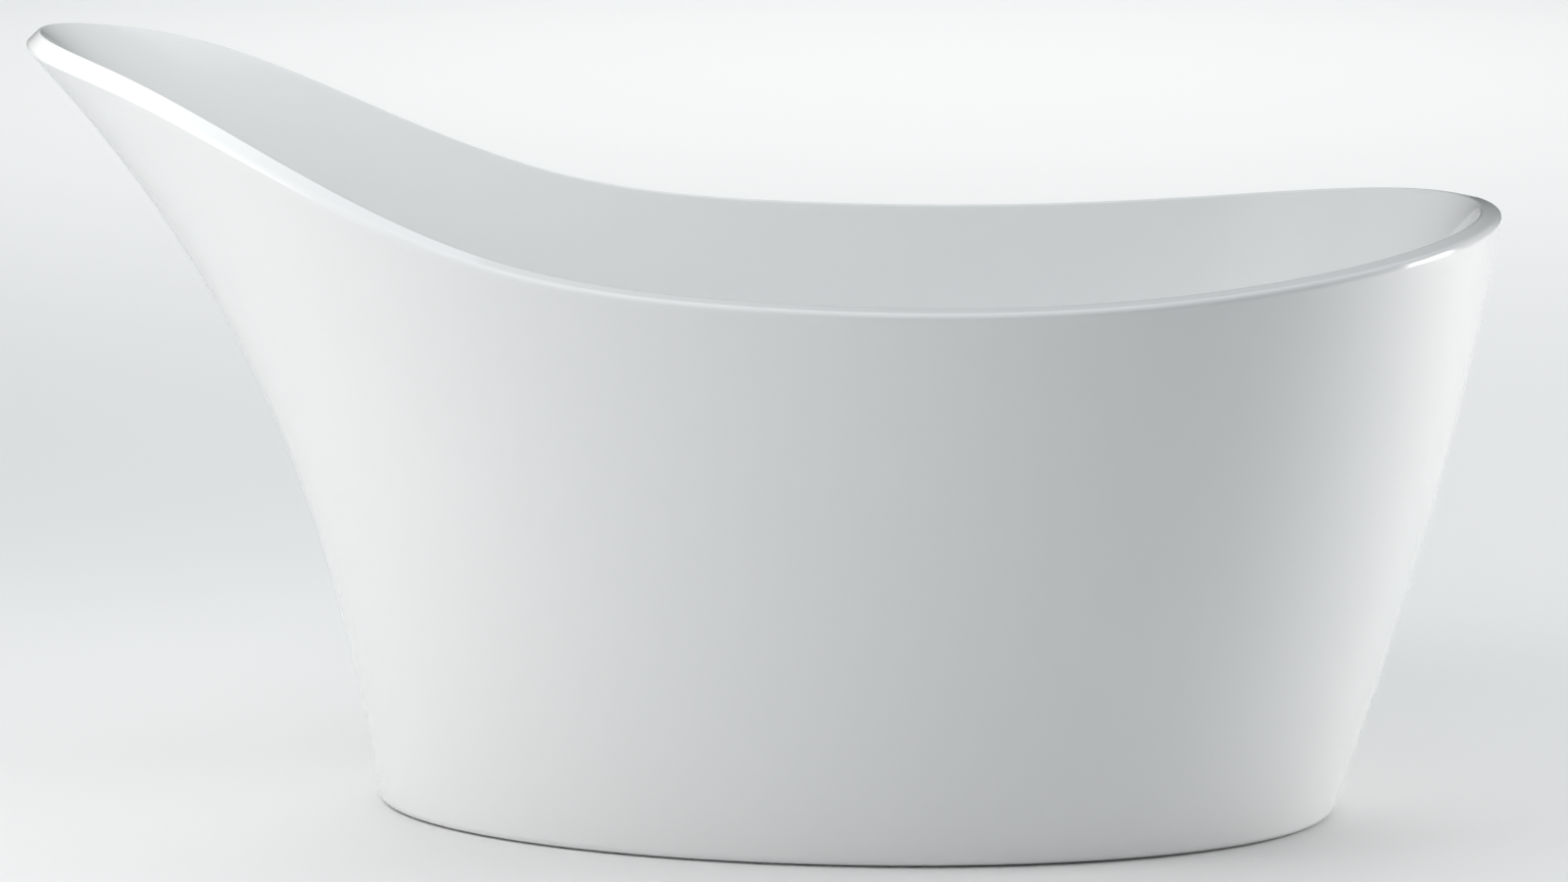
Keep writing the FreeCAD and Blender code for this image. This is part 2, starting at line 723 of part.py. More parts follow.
WEB_UNDER = "(%s - Sizes.rail_sheet)" % BOARD_UNDER
RAIL_UNDER = "(%s - Sizes.rail_depth)" % BOARD_UNDER


def cross_rail(name, middle):
    blank = block(
        name + "_blank", "Sizes.rail_width", "Sizes.rail_length", "Sizes.rail_depth",
        middle + " - Sizes.rail_width / 2", "-Sizes.rail_length / 2", RAIL_UNDER)
    channel = block(
        name + "_channel", "Sizes.rail_width - 2 * Sizes.rail_sheet", "Sizes.rail_length",
        "Sizes.rail_depth - Sizes.rail_sheet",
        middle + " - Sizes.rail_width / 2 + Sizes.rail_sheet", "-Sizes.rail_length / 2",
        RAIL_UNDER)
    holes = [rod(name + "_hole", "Sizes.foot_hole_radius", "Sizes.rail_sheet",
                 middle, side + "Sizes.foot_offset", WEB_UNDER) for side in ("", "-")]
    holes += [rod(name + "_screw_hole", "Sizes.rail_screw_radius", "Sizes.rail_sheet",
                  x, y, WEB_UNDER) for x, y in rail_screws_on(middle)]
    keep(minus(name + "_cut", blank, [channel] + holes), name)


for name, middle in RAILS:
    cross_rail(name, middle)

# ---------------------------------------------------------------- repeated fasteners


def group(name, master, spots):
    """One sub-part made of equal solids, each the master moved to its spot."""
    copies = []
    for spot in spots:
        copy = master.Shape.copy()
        copy.translate(spot)
        copies.append(copy)
    return shown(name, Part.Compound(copies))


screw = turned("rail_screw", [
    ("0", "0"),
    ("Sizes.rail_screw_head", "0"),
    ("Sizes.rail_screw_head", "Sizes.rail_screw_head_height"),
    ("Sizes.rail_screw_radius", "Sizes.rail_screw_head_height"),
    ("Sizes.rail_screw_radius",
     "Sizes.rail_screw_head_height + Sizes.rail_sheet + Sizes.rail_screw_bite"),
    ("0", "Sizes.rail_screw_head_height + Sizes.rail_sheet + Sizes.rail_screw_bite"),
])
screw_level = body_number(WEB_UNDER) - dim("rail_screw_head_height")
screw_spots = [Vector(body_number(x), body_number(y), screw_level)
               for name, middle in RAILS for x, y in rail_screws_on(middle)]
group("rail_screws", screw, screw_spots)


def nut(name, height):
    blank = hexagon(name + "_blank", "Sizes.foot_nut_across / sqrt(3)", height, "0", "0", "0")
    bore = rod(name + "_bore", "Sizes.foot_thread_radius + Sizes.foot_thread_play",
               height, "0", "0", "0")
    item = minus(name, blank, [bore])
    doc.recompute()
    return item


FOOT_SPOTS = [(x, side) for x in ("rail_tip_x", "rail_foot_x") for side in (-1, 1)]
foot_xy = [Vector(dim(x), side * dim("foot_offset"), 0) for x, side in FOOT_SPOTS]
weld_nut_level = Vector(0, 0, body_number(WEB_UNDER) - dim("weld_nut_height"))
lock_nut_level = weld_nut_level - Vector(0, 0, dim("lock_nut_height"))
group("weld_nuts", nut("weld_nut", "Sizes.weld_nut_height"), [p + weld_nut_level for p in foot_xy])
group("lock_nuts", nut("lock_nut", "Sizes.lock_nut_height"), [p + lock_nut_level for p in foot_xy])

# ---------------------------------------------------------------- levelling feet
# A plastic pad on the floor, and an M12 screw that turns in its socket and in the weld nut.

SCREW_REST = "(Sizes.pad_height - Sizes.pad_socket_depth)"
SCREW_TOP = "(%s - Sizes.foot_top_gap)" % FLOOR_UNDER
COLLAR = "Sizes.foot_collar_across / 2"


def foot(number, x, side):
    along = "Sizes." + x
    across = "%d * Sizes.foot_offset" % side
    socket = "Sizes.foot_thread_radius + Sizes.foot_thread_play"
    pad = turned("foot_pad_%d" % number, [
        ("0", "0"),
        ("Sizes.pad_radius", "0"),
        ("Sizes.pad_radius", "Sizes.pad_edge"),
        ("Sizes.pad_neck_radius", "Sizes.pad_height"),
        (socket, "Sizes.pad_height"),
        (socket, SCREW_REST),
        ("0", SCREW_REST),
    ])
    keep(place(pad, along, across, "0"), "foot_pad_%d" % number)
    shank = rod("foot_shank_%d" % number, "Sizes.foot_thread_radius",
                "%s - %s" % (SCREW_TOP, SCREW_REST), along, across, SCREW_REST)
    collar = hexagon("foot_collar_%d" % number, "Sizes.foot_collar_across / sqrt(3)",
                     "Sizes.foot_collar_height", along, across, "Sizes.pad_height")
    keep(fused("foot_bolt_%d" % number, [shank, collar]), "foot_screw_%d" % number)


for index, (x, side) in enumerate(FOOT_SPOTS, start=1):
    foot(index, x, side)

# ---------------------------------------------------------------- waste fitting
# The flange screws down into the body and clamps the bowl floor between two seals.

SEAT = "(Sizes.bowl_floor_height - Sizes.waste_recess)"
PLATE = "(%s + Sizes.seal_thickness)" % SEAT
BODY_TOP = "(%s - Sizes.seal_thickness)" % FLOOR_UNDER
TAIL_END = "(%s - Sizes.body_height)" % BODY_TOP
THROAT_END = "(%s - Sizes.throat_length)" % PLATE


def tube(name, inner, outer, height, z, x="Sizes.waste_x"):
    item = turned(name, [(inner, "0"), (outer, "0"), (outer, height), (inner, height)])
    return keep(place(item, x, "0", z), name)


tube("flange_seal", "Sizes.waste_hole_radius", "Sizes.flange_seal_radius",
     "Sizes.seal_thickness", SEAT)
tube("body_seal", "Sizes.waste_hole_radius", "Sizes.body_flange_radius - Sizes.body_seal_inset",
     "Sizes.seal_thickness", BODY_TOP)

THROAT_INNER = "(Sizes.throat_outer - Sizes.throat_wall)"
BAR_LENGTH = "2 * (%s + Sizes.bar_bite)" % THROAT_INNER
flange = turned("flange_ring", [
    (THROAT_INNER, "0"),
    ("Sizes.throat_outer", "0"),
    ("Sizes.throat_outer", "Sizes.throat_length"),
    ("Sizes.flange_radius", "Sizes.throat_length"),
    ("Sizes.flange_radius", "Sizes.throat_length + Sizes.flange_plate / 3"),
    ("Sizes.flange_radius - Sizes.flange_plate", "Sizes.throat_length + Sizes.flange_plate"),
    (THROAT_INNER + " + Sizes.flange_plate", "Sizes.throat_length + Sizes.flange_plate"),
    (THROAT_INNER, "Sizes.throat_length"),
])
place(flange, "Sizes.waste_x", "0", THROAT_END)
bridge_boss = rod("bridge_boss", "Sizes.bridge_boss", "Sizes.bridge_height",
                  "Sizes.waste_x", "0", THROAT_END)
bars = [
    block("bridge_bar_x", BAR_LENGTH, "Sizes.bridge_bar", "Sizes.bridge_height",
          "Sizes.waste_x - %s / 2" % BAR_LENGTH, "-Sizes.bridge_bar / 2", THROAT_END),
    block("bridge_bar_y", "Sizes.bridge_bar", BAR_LENGTH, "Sizes.bridge_height",
          "Sizes.waste_x - Sizes.bridge_bar / 2", "-%s / 2" % BAR_LENGTH, THROAT_END),
]
stud_hole = rod("stud_hole", "Sizes.stud_radius", "Sizes.bridge_height",
                "Sizes.waste_x", "0", THROAT_END)
keep(minus("flange_cut", fused("flange_solid", [flange, bridge_boss] + bars), [stud_hole]),
     "waste_flange")

SOCKET_FLOOR = "Sizes.body_height - Sizes.body_socket_depth"
body = turned("body_turned", [
    ("Sizes.tail_inner", "0"),
    ("Sizes.tail_radius", "0"),
    ("Sizes.tail_radius", "Sizes.tail_length"),
    ("Sizes.body_radius", "Sizes.tail_length"),
    ("Sizes.body_radius", "Sizes.body_height - Sizes.body_flange_plate"),
    ("Sizes.body_flange_radius", "Sizes.body_height - Sizes.body_flange_plate"),
    ("Sizes.body_flange_radius", "Sizes.body_height"),
    ("Sizes.throat_outer", "Sizes.body_height"),
    ("Sizes.throat_outer", SOCKET_FLOOR),
    ("Sizes.body_chamber", SOCKET_FLOOR),
    ("Sizes.body_chamber", "Sizes.tail_length + Sizes.body_flange_plate"),
    ("Sizes.tail_inner", "Sizes.tail_length"),
])
place(body, "Sizes.waste_x", "0", TAIL_END)


def level_rod(name, radius, start, end, z):
    """A cylinder along +X that starts and ends at distances from the waste's axis."""
    item = rod(name, radius, "%s - (%s)" % (end, start), "Sizes.waste_x + " + start, "0", z)
    item.Placement.Rotation = Rotation(Vector(0, 1, 0), 90)
    return item


SPIGOT = "%s + Sizes.spigot_height" % TAIL_END
BODY_WALL = "(Sizes.body_radius + Sizes.body_chamber) / 2"
spigot = level_rod("spigot", "Sizes.spigot_radius", BODY_WALL, "Sizes.spigot_reach", SPIGOT)
spigot_bore = level_rod("spigot_bore", "Sizes.spigot_inner", "Sizes.tail_inner",
                        "Sizes.spigot_reach", SPIGOT)
keep(minus("body_cut", fused("body_solid", [body, spigot]), [spigot_bore]), "waste_body")

# ---------------------------------------------------------------- press-to-open plug

BRIDGE_TOP = "(%s + Sizes.bridge_height)" % THROAT_END
STEM_BORE = "Sizes.stem_radius + Sizes.stem_play"
cartridge = turned("cartridge", [
    ("0", "0"),
    ("Sizes.stud_radius", "0"),
    ("Sizes.stud_radius", "Sizes.stud_length"),
    ("Sizes.cartridge_radius", "Sizes.stud_length"),
    ("Sizes.cartridge_radius", "Sizes.stud_length + Sizes.cartridge_height"),
    (STEM_BORE, "Sizes.stud_length + Sizes.cartridge_height"),
    (STEM_BORE, "Sizes.stud_length + Sizes.cartridge_floor"),
    ("0", "Sizes.stud_length + Sizes.cartridge_floor"),
])
place(cartridge, "Sizes.waste_x", "0", "%s - Sizes.stud_length" % BRIDGE_TOP)
keep(cartridge, "plug_cartridge")

WELL = "(%s + Sizes.cartridge_floor)" % BRIDGE_TOP
PLUG_LOW = "(%s + Sizes.flange_plate + Sizes.plug_rest_gap)" % PLATE
CAP_UNDER = "(%s + Sizes.seal_thickness)" % PLUG_LOW
STEM_LENGTH = "(%s - %s - Sizes.plug_rest_gap)" % (CAP_UNDER, WELL)
stem = turned("stem", [
    ("Sizes.stem_bore", "0"),
    ("Sizes.stem_radius", "0"),
    ("Sizes.stem_radius", STEM_LENGTH),
    ("0", STEM_LENGTH),
    ("0", "%s - Sizes.stem_roof" % STEM_LENGTH),
    ("Sizes.stem_bore", "%s - Sizes.stem_roof" % STEM_LENGTH),
])
keep(place(stem, "Sizes.waste_x", "0", "%s + Sizes.plug_rest_gap" % WELL), "plug_stem")

cap = turned("cap", [
    ("0", "0"),
    ("Sizes.plug_radius - Sizes.plug_chamfer", "0"),
    ("Sizes.plug_radius", "Sizes.plug_chamfer"),
    ("Sizes.plug_radius", "Sizes.plug_height / 2"),
    ("Sizes.plug_radius - Sizes.plug_slope", "Sizes.plug_height - Sizes.plug_crown"),
    ("Sizes.plug_radius / 2", "Sizes.plug_height"),
    ("0", "Sizes.plug_height"),
])
keep(place(cap, "Sizes.waste_x", "0", CAP_UNDER), "plug_cap")
tube("plug_seal", "Sizes.plug_seal_inner", "Sizes.plug_seal_outer", "Sizes.seal_thickness",
     PLUG_LOW)

spring_room = (body_number(STEM_LENGTH) + dim("plug_rest_gap") - dim("stem_roof")
               - dim("spring_wire"))
coil = Part.makeHelix(spring_room / dim("spring_turns"), spring_room, dim("spring_radius"))
section = Part.makeCircle(
    dim("spring_wire") / 2, Vector(dim("spring_radius"), 0, 0), Vector(0, 1, 0))
spring = Part.Wire(coil.Edges).makePipeShell([Part.Wire([section])], True, True)
spring.translate(Vector(dim("waste_x"), 0, body_number(WELL) + dim("spring_wire") / 2))
shown("plug_spring", spring)

# ---------------------------------------------------------------- trap
# Low trap: the inlet tube dips into a cup that unscrews for cleaning.

UNION_LOW = "(%s - Sizes.seal_thickness - Sizes.inlet_collar_height - Sizes.union_lip)" % TAIL_END
COLLAR_TOP = "(%s - Sizes.seal_thickness)" % TAIL_END
tube("trap_washer", "Sizes.tail_inner", "Sizes.inlet_collar", "Sizes.seal_thickness", COLLAR_TOP)

union_blank = hexagon("union_blank", "Sizes.union_radius", "Sizes.union_height",
                      "Sizes.waste_x", "0", UNION_LOW, sides=8)
union_bore = rod("union_bore", "Sizes.tail_radius", "Sizes.union_height - Sizes.union_lip",
                 "Sizes.waste_x", "0", "%s + Sizes.union_lip" % UNION_LOW)
union_mouth = rod("union_mouth", "Sizes.inlet_outer + Sizes.inlet_play", "Sizes.union_height",
                  "Sizes.waste_x", "0", UNION_LOW)
keep(minus("union", union_blank, [union_bore, union_mouth]), "trap_union_nut")

HOUSING_TOP = "(%s - Sizes.trap_top_gap)" % COLLAR_TOP
HOUSING_LOW = "(%s - Sizes.trap_height)" % HOUSING_TOP
DIP_LOW = "(%s - Sizes.dip_below)" % HOUSING_LOW
HOUSING_FLOOR = "Sizes.dip_below"
HOUSING_ROOF = "(Sizes.dip_below + Sizes.trap_height)"
INLET_TOP = "(%s + Sizes.trap_top_gap)" % HOUSING_ROOF
housing = turned("housing", [
    ("Sizes.inlet_inner", "0"),
    ("Sizes.inlet_outer", "0"),
    ("Sizes.inlet_outer", "%s - Sizes.trap_wall" % HOUSING_ROOF),
    ("Sizes.trap_radius - Sizes.trap_wall", "%s - Sizes.trap_wall" % HOUSING_ROOF),
    ("Sizes.trap_radius - Sizes.trap_wall", HOUSING_FLOOR),
    ("Sizes.trap_radius", HOUSING_FLOOR),
    ("Sizes.trap_radius", HOUSING_ROOF),
    ("Sizes.inlet_outer", HOUSING_ROOF),
    ("Sizes.inlet_outer", "%s - Sizes.inlet_collar_height" % INLET_TOP),
    ("Sizes.inlet_collar", "%s - Sizes.inlet_collar_height" % INLET_TOP),
    ("Sizes.inlet_collar", INLET_TOP),
    ("Sizes.inlet_inner", INLET_TOP),
])
place(housing, "Sizes.waste_x", "0", DIP_LOW)


OUTLET = "(%s + Sizes.outlet_rise)" % HOUSING_LOW


def outlet_rod(name, radius, start, end):
    """A cylinder along +Y that starts and ends at distances from the trap's axis."""
    item = rod(name, radius, "%s - (%s)" % (end, start), "Sizes.waste_x", start, OUTLET)
    item.Placement.Rotation = Rotation(Vector(1, 0, 0), -90)
    return item


HOUSING_WALL = "(Sizes.trap_radius - Sizes.trap_wall)"
neck = outlet_rod("neck", "Sizes.outlet_inner + Sizes.trap_wall", HOUSING_WALL,
                  "Sizes.socket_start")
socket = outlet_rod("socket", "Sizes.socket_outer", "Sizes.socket_start - Sizes.trap_wall",
                    "Sizes.socket_end")
waterway = outlet_rod("waterway", "Sizes.outlet_inner", "Sizes.inlet_outer + Sizes.trap_wall",
                      "Sizes.socket_end")
pipe_socket = outlet_rod("pipe_socket", "Sizes.pipe_bore", "Sizes.socket_start",
                         "Sizes.socket_end")
keep(minus("housing_cut", fused("housing_solid", [housing, neck, socket]),
           [waterway, pipe_socket]), "trap_body")

CUP_RIM = "(Sizes.cup_depth + Sizes.cup_overlap)"
CUP_SHOULDER = "(Sizes.cup_depth - Sizes.seal_thickness)"
CUP_BORE = "Sizes.trap_radius + Sizes.cup_play"
cup = turned("cup", [
    ("0", "0"),
    (CUP_BORE + " + Sizes.cup_wall - Sizes.cup_chamfer", "0"),
    (CUP_BORE + " + Sizes.cup_wall", "Sizes.cup_chamfer"),
    (CUP_BORE + " + Sizes.cup_wall", CUP_RIM),
    (CUP_BORE, CUP_RIM),
    (CUP_BORE, CUP_SHOULDER),
    (HOUSING_WALL, CUP_SHOULDER),
    (HOUSING_WALL, "Sizes.cup_wall"),
    ("0", "Sizes.cup_wall"),
])
keep(place(cup, "Sizes.waste_x", "0", "%s - Sizes.cup_depth" % HOUSING_LOW), "trap_cup")
tube("cup_seal", HOUSING_WALL, "Sizes.trap_radius", "Sizes.seal_thickness",
     "%s - Sizes.seal_thickness" % HOUSING_LOW)

SEAL_END = "(Sizes.socket_end + Sizes.outlet_seal_width)"
seal_solid = outlet_rod("seal_solid", "Sizes.socket_outer", "Sizes.socket_end", SEAL_END)
seal_hole = outlet_rod("seal_hole", "Sizes.pipe_bore", "Sizes.socket_end", SEAL_END)
keep(minus("seal_cut", seal_solid, [seal_hole]), "outlet_seal")

NUT_START = "(Sizes.socket_end - Sizes.outlet_nut_overlap)"
NUT_END = "(%s + Sizes.outlet_nut_wall)" % SEAL_END
nut_blank = hexagon("nut_blank", "Sizes.outlet_nut_radius", "%s - %s" % (NUT_END, NUT_START),
                    "Sizes.waste_x", NUT_START, OUTLET, sides=8)
nut_blank.Placement.Rotation = Rotation(Vector(1, 0, 0), -90)
nut_thread = outlet_rod("nut_thread", "Sizes.socket_outer", NUT_START, SEAL_END)
nut_mouth = outlet_rod("nut_mouth", "Sizes.pipe_bore", NUT_START, NUT_END)
keep(minus("nut_cut", nut_blank, [nut_thread, nut_mouth]), "outlet_nut")

# ---------------------------------------------------------------- overflow
# A ring in the bath screws into the body behind the wall and clamps the wall with a seal.


def overflow_turned(name, corners, level):
    """A turned piece on the overflow's axis, its own zero at a level from the flat seat."""
    item = turned(name, corners)
    item.Placement = Placement(at_overflow(0, 0, level), overflow_turn)
    return item


wall = dim("overflow_wall")
seal = dim("seal_thickness")
keep(overflow_turned("overflow_seal", [
    ("Sizes.overflow_hole", "0"),
    ("Sizes.elbow_flange", "0"),
    ("Sizes.elbow_flange", "Sizes.seal_thickness"),
    ("Sizes.overflow_hole", "Sizes.seal_thickness"),
], -wall - seal), "overflow_seal")

ELBOW_FACE = "Sizes.elbow_depth"
elbow_back = -wall - seal - dim("elbow_depth")
elbow = overflow_turned("elbow", [
    ("0", "0"),
    ("Sizes.elbow_outer", "0"),
    ("Sizes.elbow_outer", "Sizes.elbow_depth - Sizes.elbow_flange_plate"),
    ("Sizes.elbow_flange", "Sizes.elbow_depth - Sizes.elbow_flange_plate"),
    ("Sizes.elbow_flange", ELBOW_FACE),
    ("Sizes.ring_outer", ELBOW_FACE),
    ("Sizes.ring_outer", "Sizes.elbow_depth - Sizes.elbow_socket"),
    ("Sizes.elbow_inner", "Sizes.elbow_depth - Sizes.elbow_socket"),
    ("Sizes.elbow_inner", "Sizes.elbow_flange_plate"),
    ("0", "Sizes.elbow_flange_plate"),
], elbow_back)
doc.recompute()
down = overflow_turn.multVec(Vector(-1, 0, 0))
spigot_level = elbow_back + dim("elbow_spigot_level")


def elbow_rod(radius, start, end):
    return Part.makeCylinder(radius, end - start, at_overflow(0, -start, spigot_level), down)


elbow_mid_wall = (dim("elbow_outer") + dim("elbow_inner")) / 2
elbow_shape = elbow.Shape.fuse(
    elbow_rod(dim("spigot_radius"), elbow_mid_wall, dim("elbow_spigot_end")))
elbow_shape = elbow_shape.cut(elbow_rod(dim("spigot_inner"), 0, dim("elbow_spigot_end")))
shown("overflow_body", elbow_shape)

ring_turned = overflow_turned("ring_turned", [
    ("Sizes.ring_inner", "0"),
    ("Sizes.ring_outer", "0"),
    ("Sizes.ring_outer", "Sizes.ring_length"),
    ("Sizes.ring_radius", "Sizes.ring_length"),
    ("Sizes.ring_radius", "Sizes.ring_length + Sizes.ring_plate"),
    ("Sizes.ring_inner", "Sizes.ring_length + Sizes.ring_plate"),
], -dim("ring_length"))
doc.recompute()
bar_reach = dim("ring_inner") + dim("bar_bite")
bar = Part.makeBox(
    2 * bar_reach, 2 * dim("cover_post"), dim("ring_bridge"),
    Vector(-bar_reach, -dim("cover_post"), -dim("ring_bridge")))
bar.Placement = overflow_place
ring_shape = ring_turned.Shape.fuse(bar)
ring_shape = ring_shape.cut(overflow_rod(dim("cover_screw_radius"), -dim("ring_bridge"), 0))
shown("overflow_ring", ring_shape)

POST_BORE = "Sizes.cover_screw_radius"
HEAD_FLOOR = "(Sizes.cover_depth - Sizes.cover_screw_sink)"
PLATE_BACK = "(Sizes.cover_depth - Sizes.cover_plate)"
keep(overflow_turned("cover", [
    (POST_BORE, "0"),
    ("Sizes.cover_post", "0"),
    ("Sizes.cover_post", PLATE_BACK),
    ("Sizes.cover_radius - Sizes.cover_plate", PLATE_BACK),
    ("Sizes.cover_radius - Sizes.cover_plate", "Sizes.cover_slot"),
    ("Sizes.cover_radius", "Sizes.cover_slot"),
    ("Sizes.cover_radius", PLATE_BACK),
    ("Sizes.cover_radius - Sizes.cover_plate", "Sizes.cover_depth"),
    ("Sizes.cover_screw_head", "Sizes.cover_depth"),
    ("Sizes.cover_screw_head", HEAD_FLOOR),
    (POST_BORE, HEAD_FLOOR),
], 0), "overflow_cover")
keep(overflow_turned("cover_screw", [
    ("0", "0"),
    ("Sizes.cover_screw_radius", "0"),
    ("Sizes.cover_screw_radius", "Sizes.ring_bridge + " + HEAD_FLOOR),
    ("Sizes.cover_screw_head", "Sizes.ring_bridge + " + HEAD_FLOOR),
    ("Sizes.cover_screw_head", "Sizes.ring_bridge + Sizes.cover_depth"),
    ("0", "Sizes.ring_bridge + Sizes.cover_depth"),
], -dim("ring_bridge")), "overflow_screw")

# ---------------------------------------------------------------- overflow hose
# Slides over both spigots; three straight runs joined by arcs, in the plane of symmetry.

grip = dim("hose_grip")
hose_start = at_overflow(0, -(dim("elbow_spigot_end") - grip), spigot_level)
hose_end = Vector(dim("waste_x") + dim("spigot_reach") - grip, 0, body_number(SPIGOT))
hose_upper = hose_start + down * dim("hose_drop")
hose_lower = Vector(dim("floor_foot_end") + dim("hose_corner"), 0, hose_end.z)


def tangent_arc(before, corner_point, after):
    """Arc that rounds a corner and starts at a share of the shorter run beside it."""
    back = before - corner_point
    ahead = after - corner_point
    reach = dim("hose_corner_share") * min(back.Length, ahead.Length)
    back.normalize()
    ahead.normalize()
    middle = (back + ahead).normalize()
    half = back.getAngle(middle)
    radius = reach * math.tan(half)
    centre = corner_point + middle * (reach / math.cos(half))
    return Part.Arc(corner_point + back * reach, centre - middle * radius,
                    corner_point + ahead * reach)


arcs = [tangent_arc(hose_start, hose_upper, hose_lower),
        tangent_arc(hose_upper, hose_lower, hose_end)]
route = Part.Wire([
    Part.LineSegment(hose_start, arcs[0].StartPoint).toShape(),
    arcs[0].toShape(),
    Part.LineSegment(arcs[0].EndPoint, arcs[1].StartPoint).toShape(),
    arcs[1].toShape(),
    Part.LineSegment(arcs[1].EndPoint, hose_end).toShape(),
])


def swept(radius):
    circle = Part.Wire([Part.makeCircle(radius, hose_start, down)])
    return route.makePipeShell([circle], True, False)


shown("overflow_hose", swept(dim("hose_outer")).cut(swept(dim("hose_inner"))))


def clip(centre, axis):
    start = centre - axis * (dim("clip_width") / 2)
    band = Part.makeCylinder(
        dim("hose_outer") + dim("clip_band"), dim("clip_width"), start, axis)
    return band.cut(Part.makeCylinder(dim("hose_outer"), dim("clip_width"), start, axis))


shown("hose_clips", Part.Compound([
    clip(hose_start + down * (grip / 2), down),
    clip(hose_end + Vector(grip / 2, 0, 0), Vector(1, 0, 0)),
]))

# ---------------------------------------------------------------- check and export

doc.recompute()
for item in doc.Objects:
    assert not {"Invalid", "Error"} & set(item.State), "%s failed: %s" % (item.Name, item.State)
os.makedirs("parts", exist_ok=True)
for item in parts:
    assert not item.Shape.isNull() and item.Shape.isValid(), item.Label + " has no valid shape"
    item.Shape.exportStep(os.path.join("parts", item.Label + ".step"))
print("%d sub-parts written" % len(parts))
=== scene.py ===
import bmesh
import bpy
import math
from mathutils import Matrix, Vector


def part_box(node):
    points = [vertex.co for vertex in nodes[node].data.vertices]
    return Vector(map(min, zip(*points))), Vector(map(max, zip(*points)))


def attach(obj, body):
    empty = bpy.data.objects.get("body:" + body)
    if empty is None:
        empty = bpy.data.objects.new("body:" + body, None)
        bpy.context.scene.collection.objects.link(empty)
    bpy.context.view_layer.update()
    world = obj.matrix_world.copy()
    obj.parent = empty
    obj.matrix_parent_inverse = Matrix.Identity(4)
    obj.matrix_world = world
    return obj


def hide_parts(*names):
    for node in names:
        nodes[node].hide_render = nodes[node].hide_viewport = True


# A freestanding slipper bath: gloss white bowl and skirt, chrome waste and overflow, plumbing
# and levelling feet below. Metres; +X is the foot end, -X the raised backrest end.
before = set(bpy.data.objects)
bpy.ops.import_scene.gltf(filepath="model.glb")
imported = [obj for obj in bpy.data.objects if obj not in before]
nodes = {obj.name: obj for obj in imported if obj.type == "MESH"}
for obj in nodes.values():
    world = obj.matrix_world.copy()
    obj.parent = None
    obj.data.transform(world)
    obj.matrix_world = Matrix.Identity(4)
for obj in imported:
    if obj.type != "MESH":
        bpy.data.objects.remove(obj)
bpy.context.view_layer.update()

# ---------------------------------------------------------------- studio
# A pale matt floor under a broad overhead light, with tall softboxes left and right. Two more
# light the hollow of the bath and the floor behind it, and the gloss doesn't mirror those.

SOFTBOX_TINT = (1.0, 0.985, 0.97)
OVERHEAD_TINT = (0.86, 0.95, 1.0)
OVERHEAD_SPREAD = math.radians(90)
SKY_COLOUR = (0.93, 0.96, 1.0, 1)
FLOOR_GREY = (0.82, 0.82, 0.82)
FLOOR_RADIUS = 24


def look_along(place, way):
    """Transform of a camera or a light at a place that faces along a direction."""
    return Matrix.Translation(place) @ way.to_track_quat("-Z", "Y").to_matrix().to_4x4()


def camera(place, turn, dip, lens):
    data = bpy.data.cameras.new("studio_camera")
    data.lens = lens
    data.sensor_width = 36
    item = bpy.data.objects.new("studio_camera", data)
    bpy.context.collection.objects.link(item)
    level = math.cos(math.radians(dip))
    way = Vector((math.sin(math.radians(turn)) * level, math.cos(math.radians(turn)) * level,
                  -math.sin(math.radians(dip))))
    item.matrix_world = look_along(Vector(place), way)
    bpy.context.scene.camera = item


def softbox(name, place, aim, width, height, power, seen_in_gloss=True):
    data = bpy.data.lights.new(name, "AREA")
    data.shape = "RECTANGLE"
    data.size = width
    data.size_y = height
    data.energy = power
    data.color = SOFTBOX_TINT
    item = bpy.data.objects.new(name, data)
    bpy.context.collection.objects.link(item)
    item.matrix_world = look_along(Vector(place), Vector(aim) - Vector(place))
    item.visible_glossy = seen_in_gloss


camera((0.4131, -5.3922, 1.4632), -4.1, 10.954, 112.5)
softbox("left_softbox", (-3.2, -2.6, 1.2), (-0.3, 0, 0.5), 2.0, 2.6, 39)
softbox("right_softbox", (4.0, 0.3, 1.2), (0.4, 0, 0.5), 1.6, 2.6, 92)
softbox("inside_softbox", (-1.5, -0.9, 2.0), (0, 0.3, 0.5), 1.2, 1.2, 30, False)
softbox("background_softbox", (0, 7.5, 4.5), (0, 7.5, 0), 9.0, 9.0, 400, False)
overhead = bpy.data.objects.new("overhead", bpy.data.lights.new("overhead", "SUN"))
overhead.data.angle = OVERHEAD_SPREAD
overhead.data.energy = 1.05
overhead.data.color = OVERHEAD_TINT
bpy.context.collection.objects.link(overhead)

sky = bpy.data.worlds.new("studio_sky")
sky.use_nodes = True
sky.node_tree.nodes["Background"].inputs["Color"].default_value = SKY_COLOUR
sky.node_tree.nodes["Background"].inputs["Strength"].default_value = 0.02
bpy.context.scene.world = sky
bpy.context.scene.view_settings.view_transform = "Standard"
bpy.context.scene.view_settings.look = "None"


def new_material(name, color, roughness, metallic=0.0):
    """A Principled material; returns it with its node tree and shader for more detail."""
    material = bpy.data.materials.new(name)
    material.use_nodes = True
    tree = material.node_tree
    shader = tree.nodes["Principled BSDF"]
    shader.inputs["Base Color"].default_value = (*color, 1)
    shader.inputs["Roughness"].default_value = roughness
    shader.inputs["Metallic"].default_value = metallic
    return material, tree, shader


def as_object(name, bm, material):
    mesh = bpy.data.meshes.new(name)
    bm.to_mesh(mesh)
    bm.free()
    mesh.materials.append(material)
    item = bpy.data.objects.new(name, mesh)
    bpy.context.collection.objects.link(item)
    return item


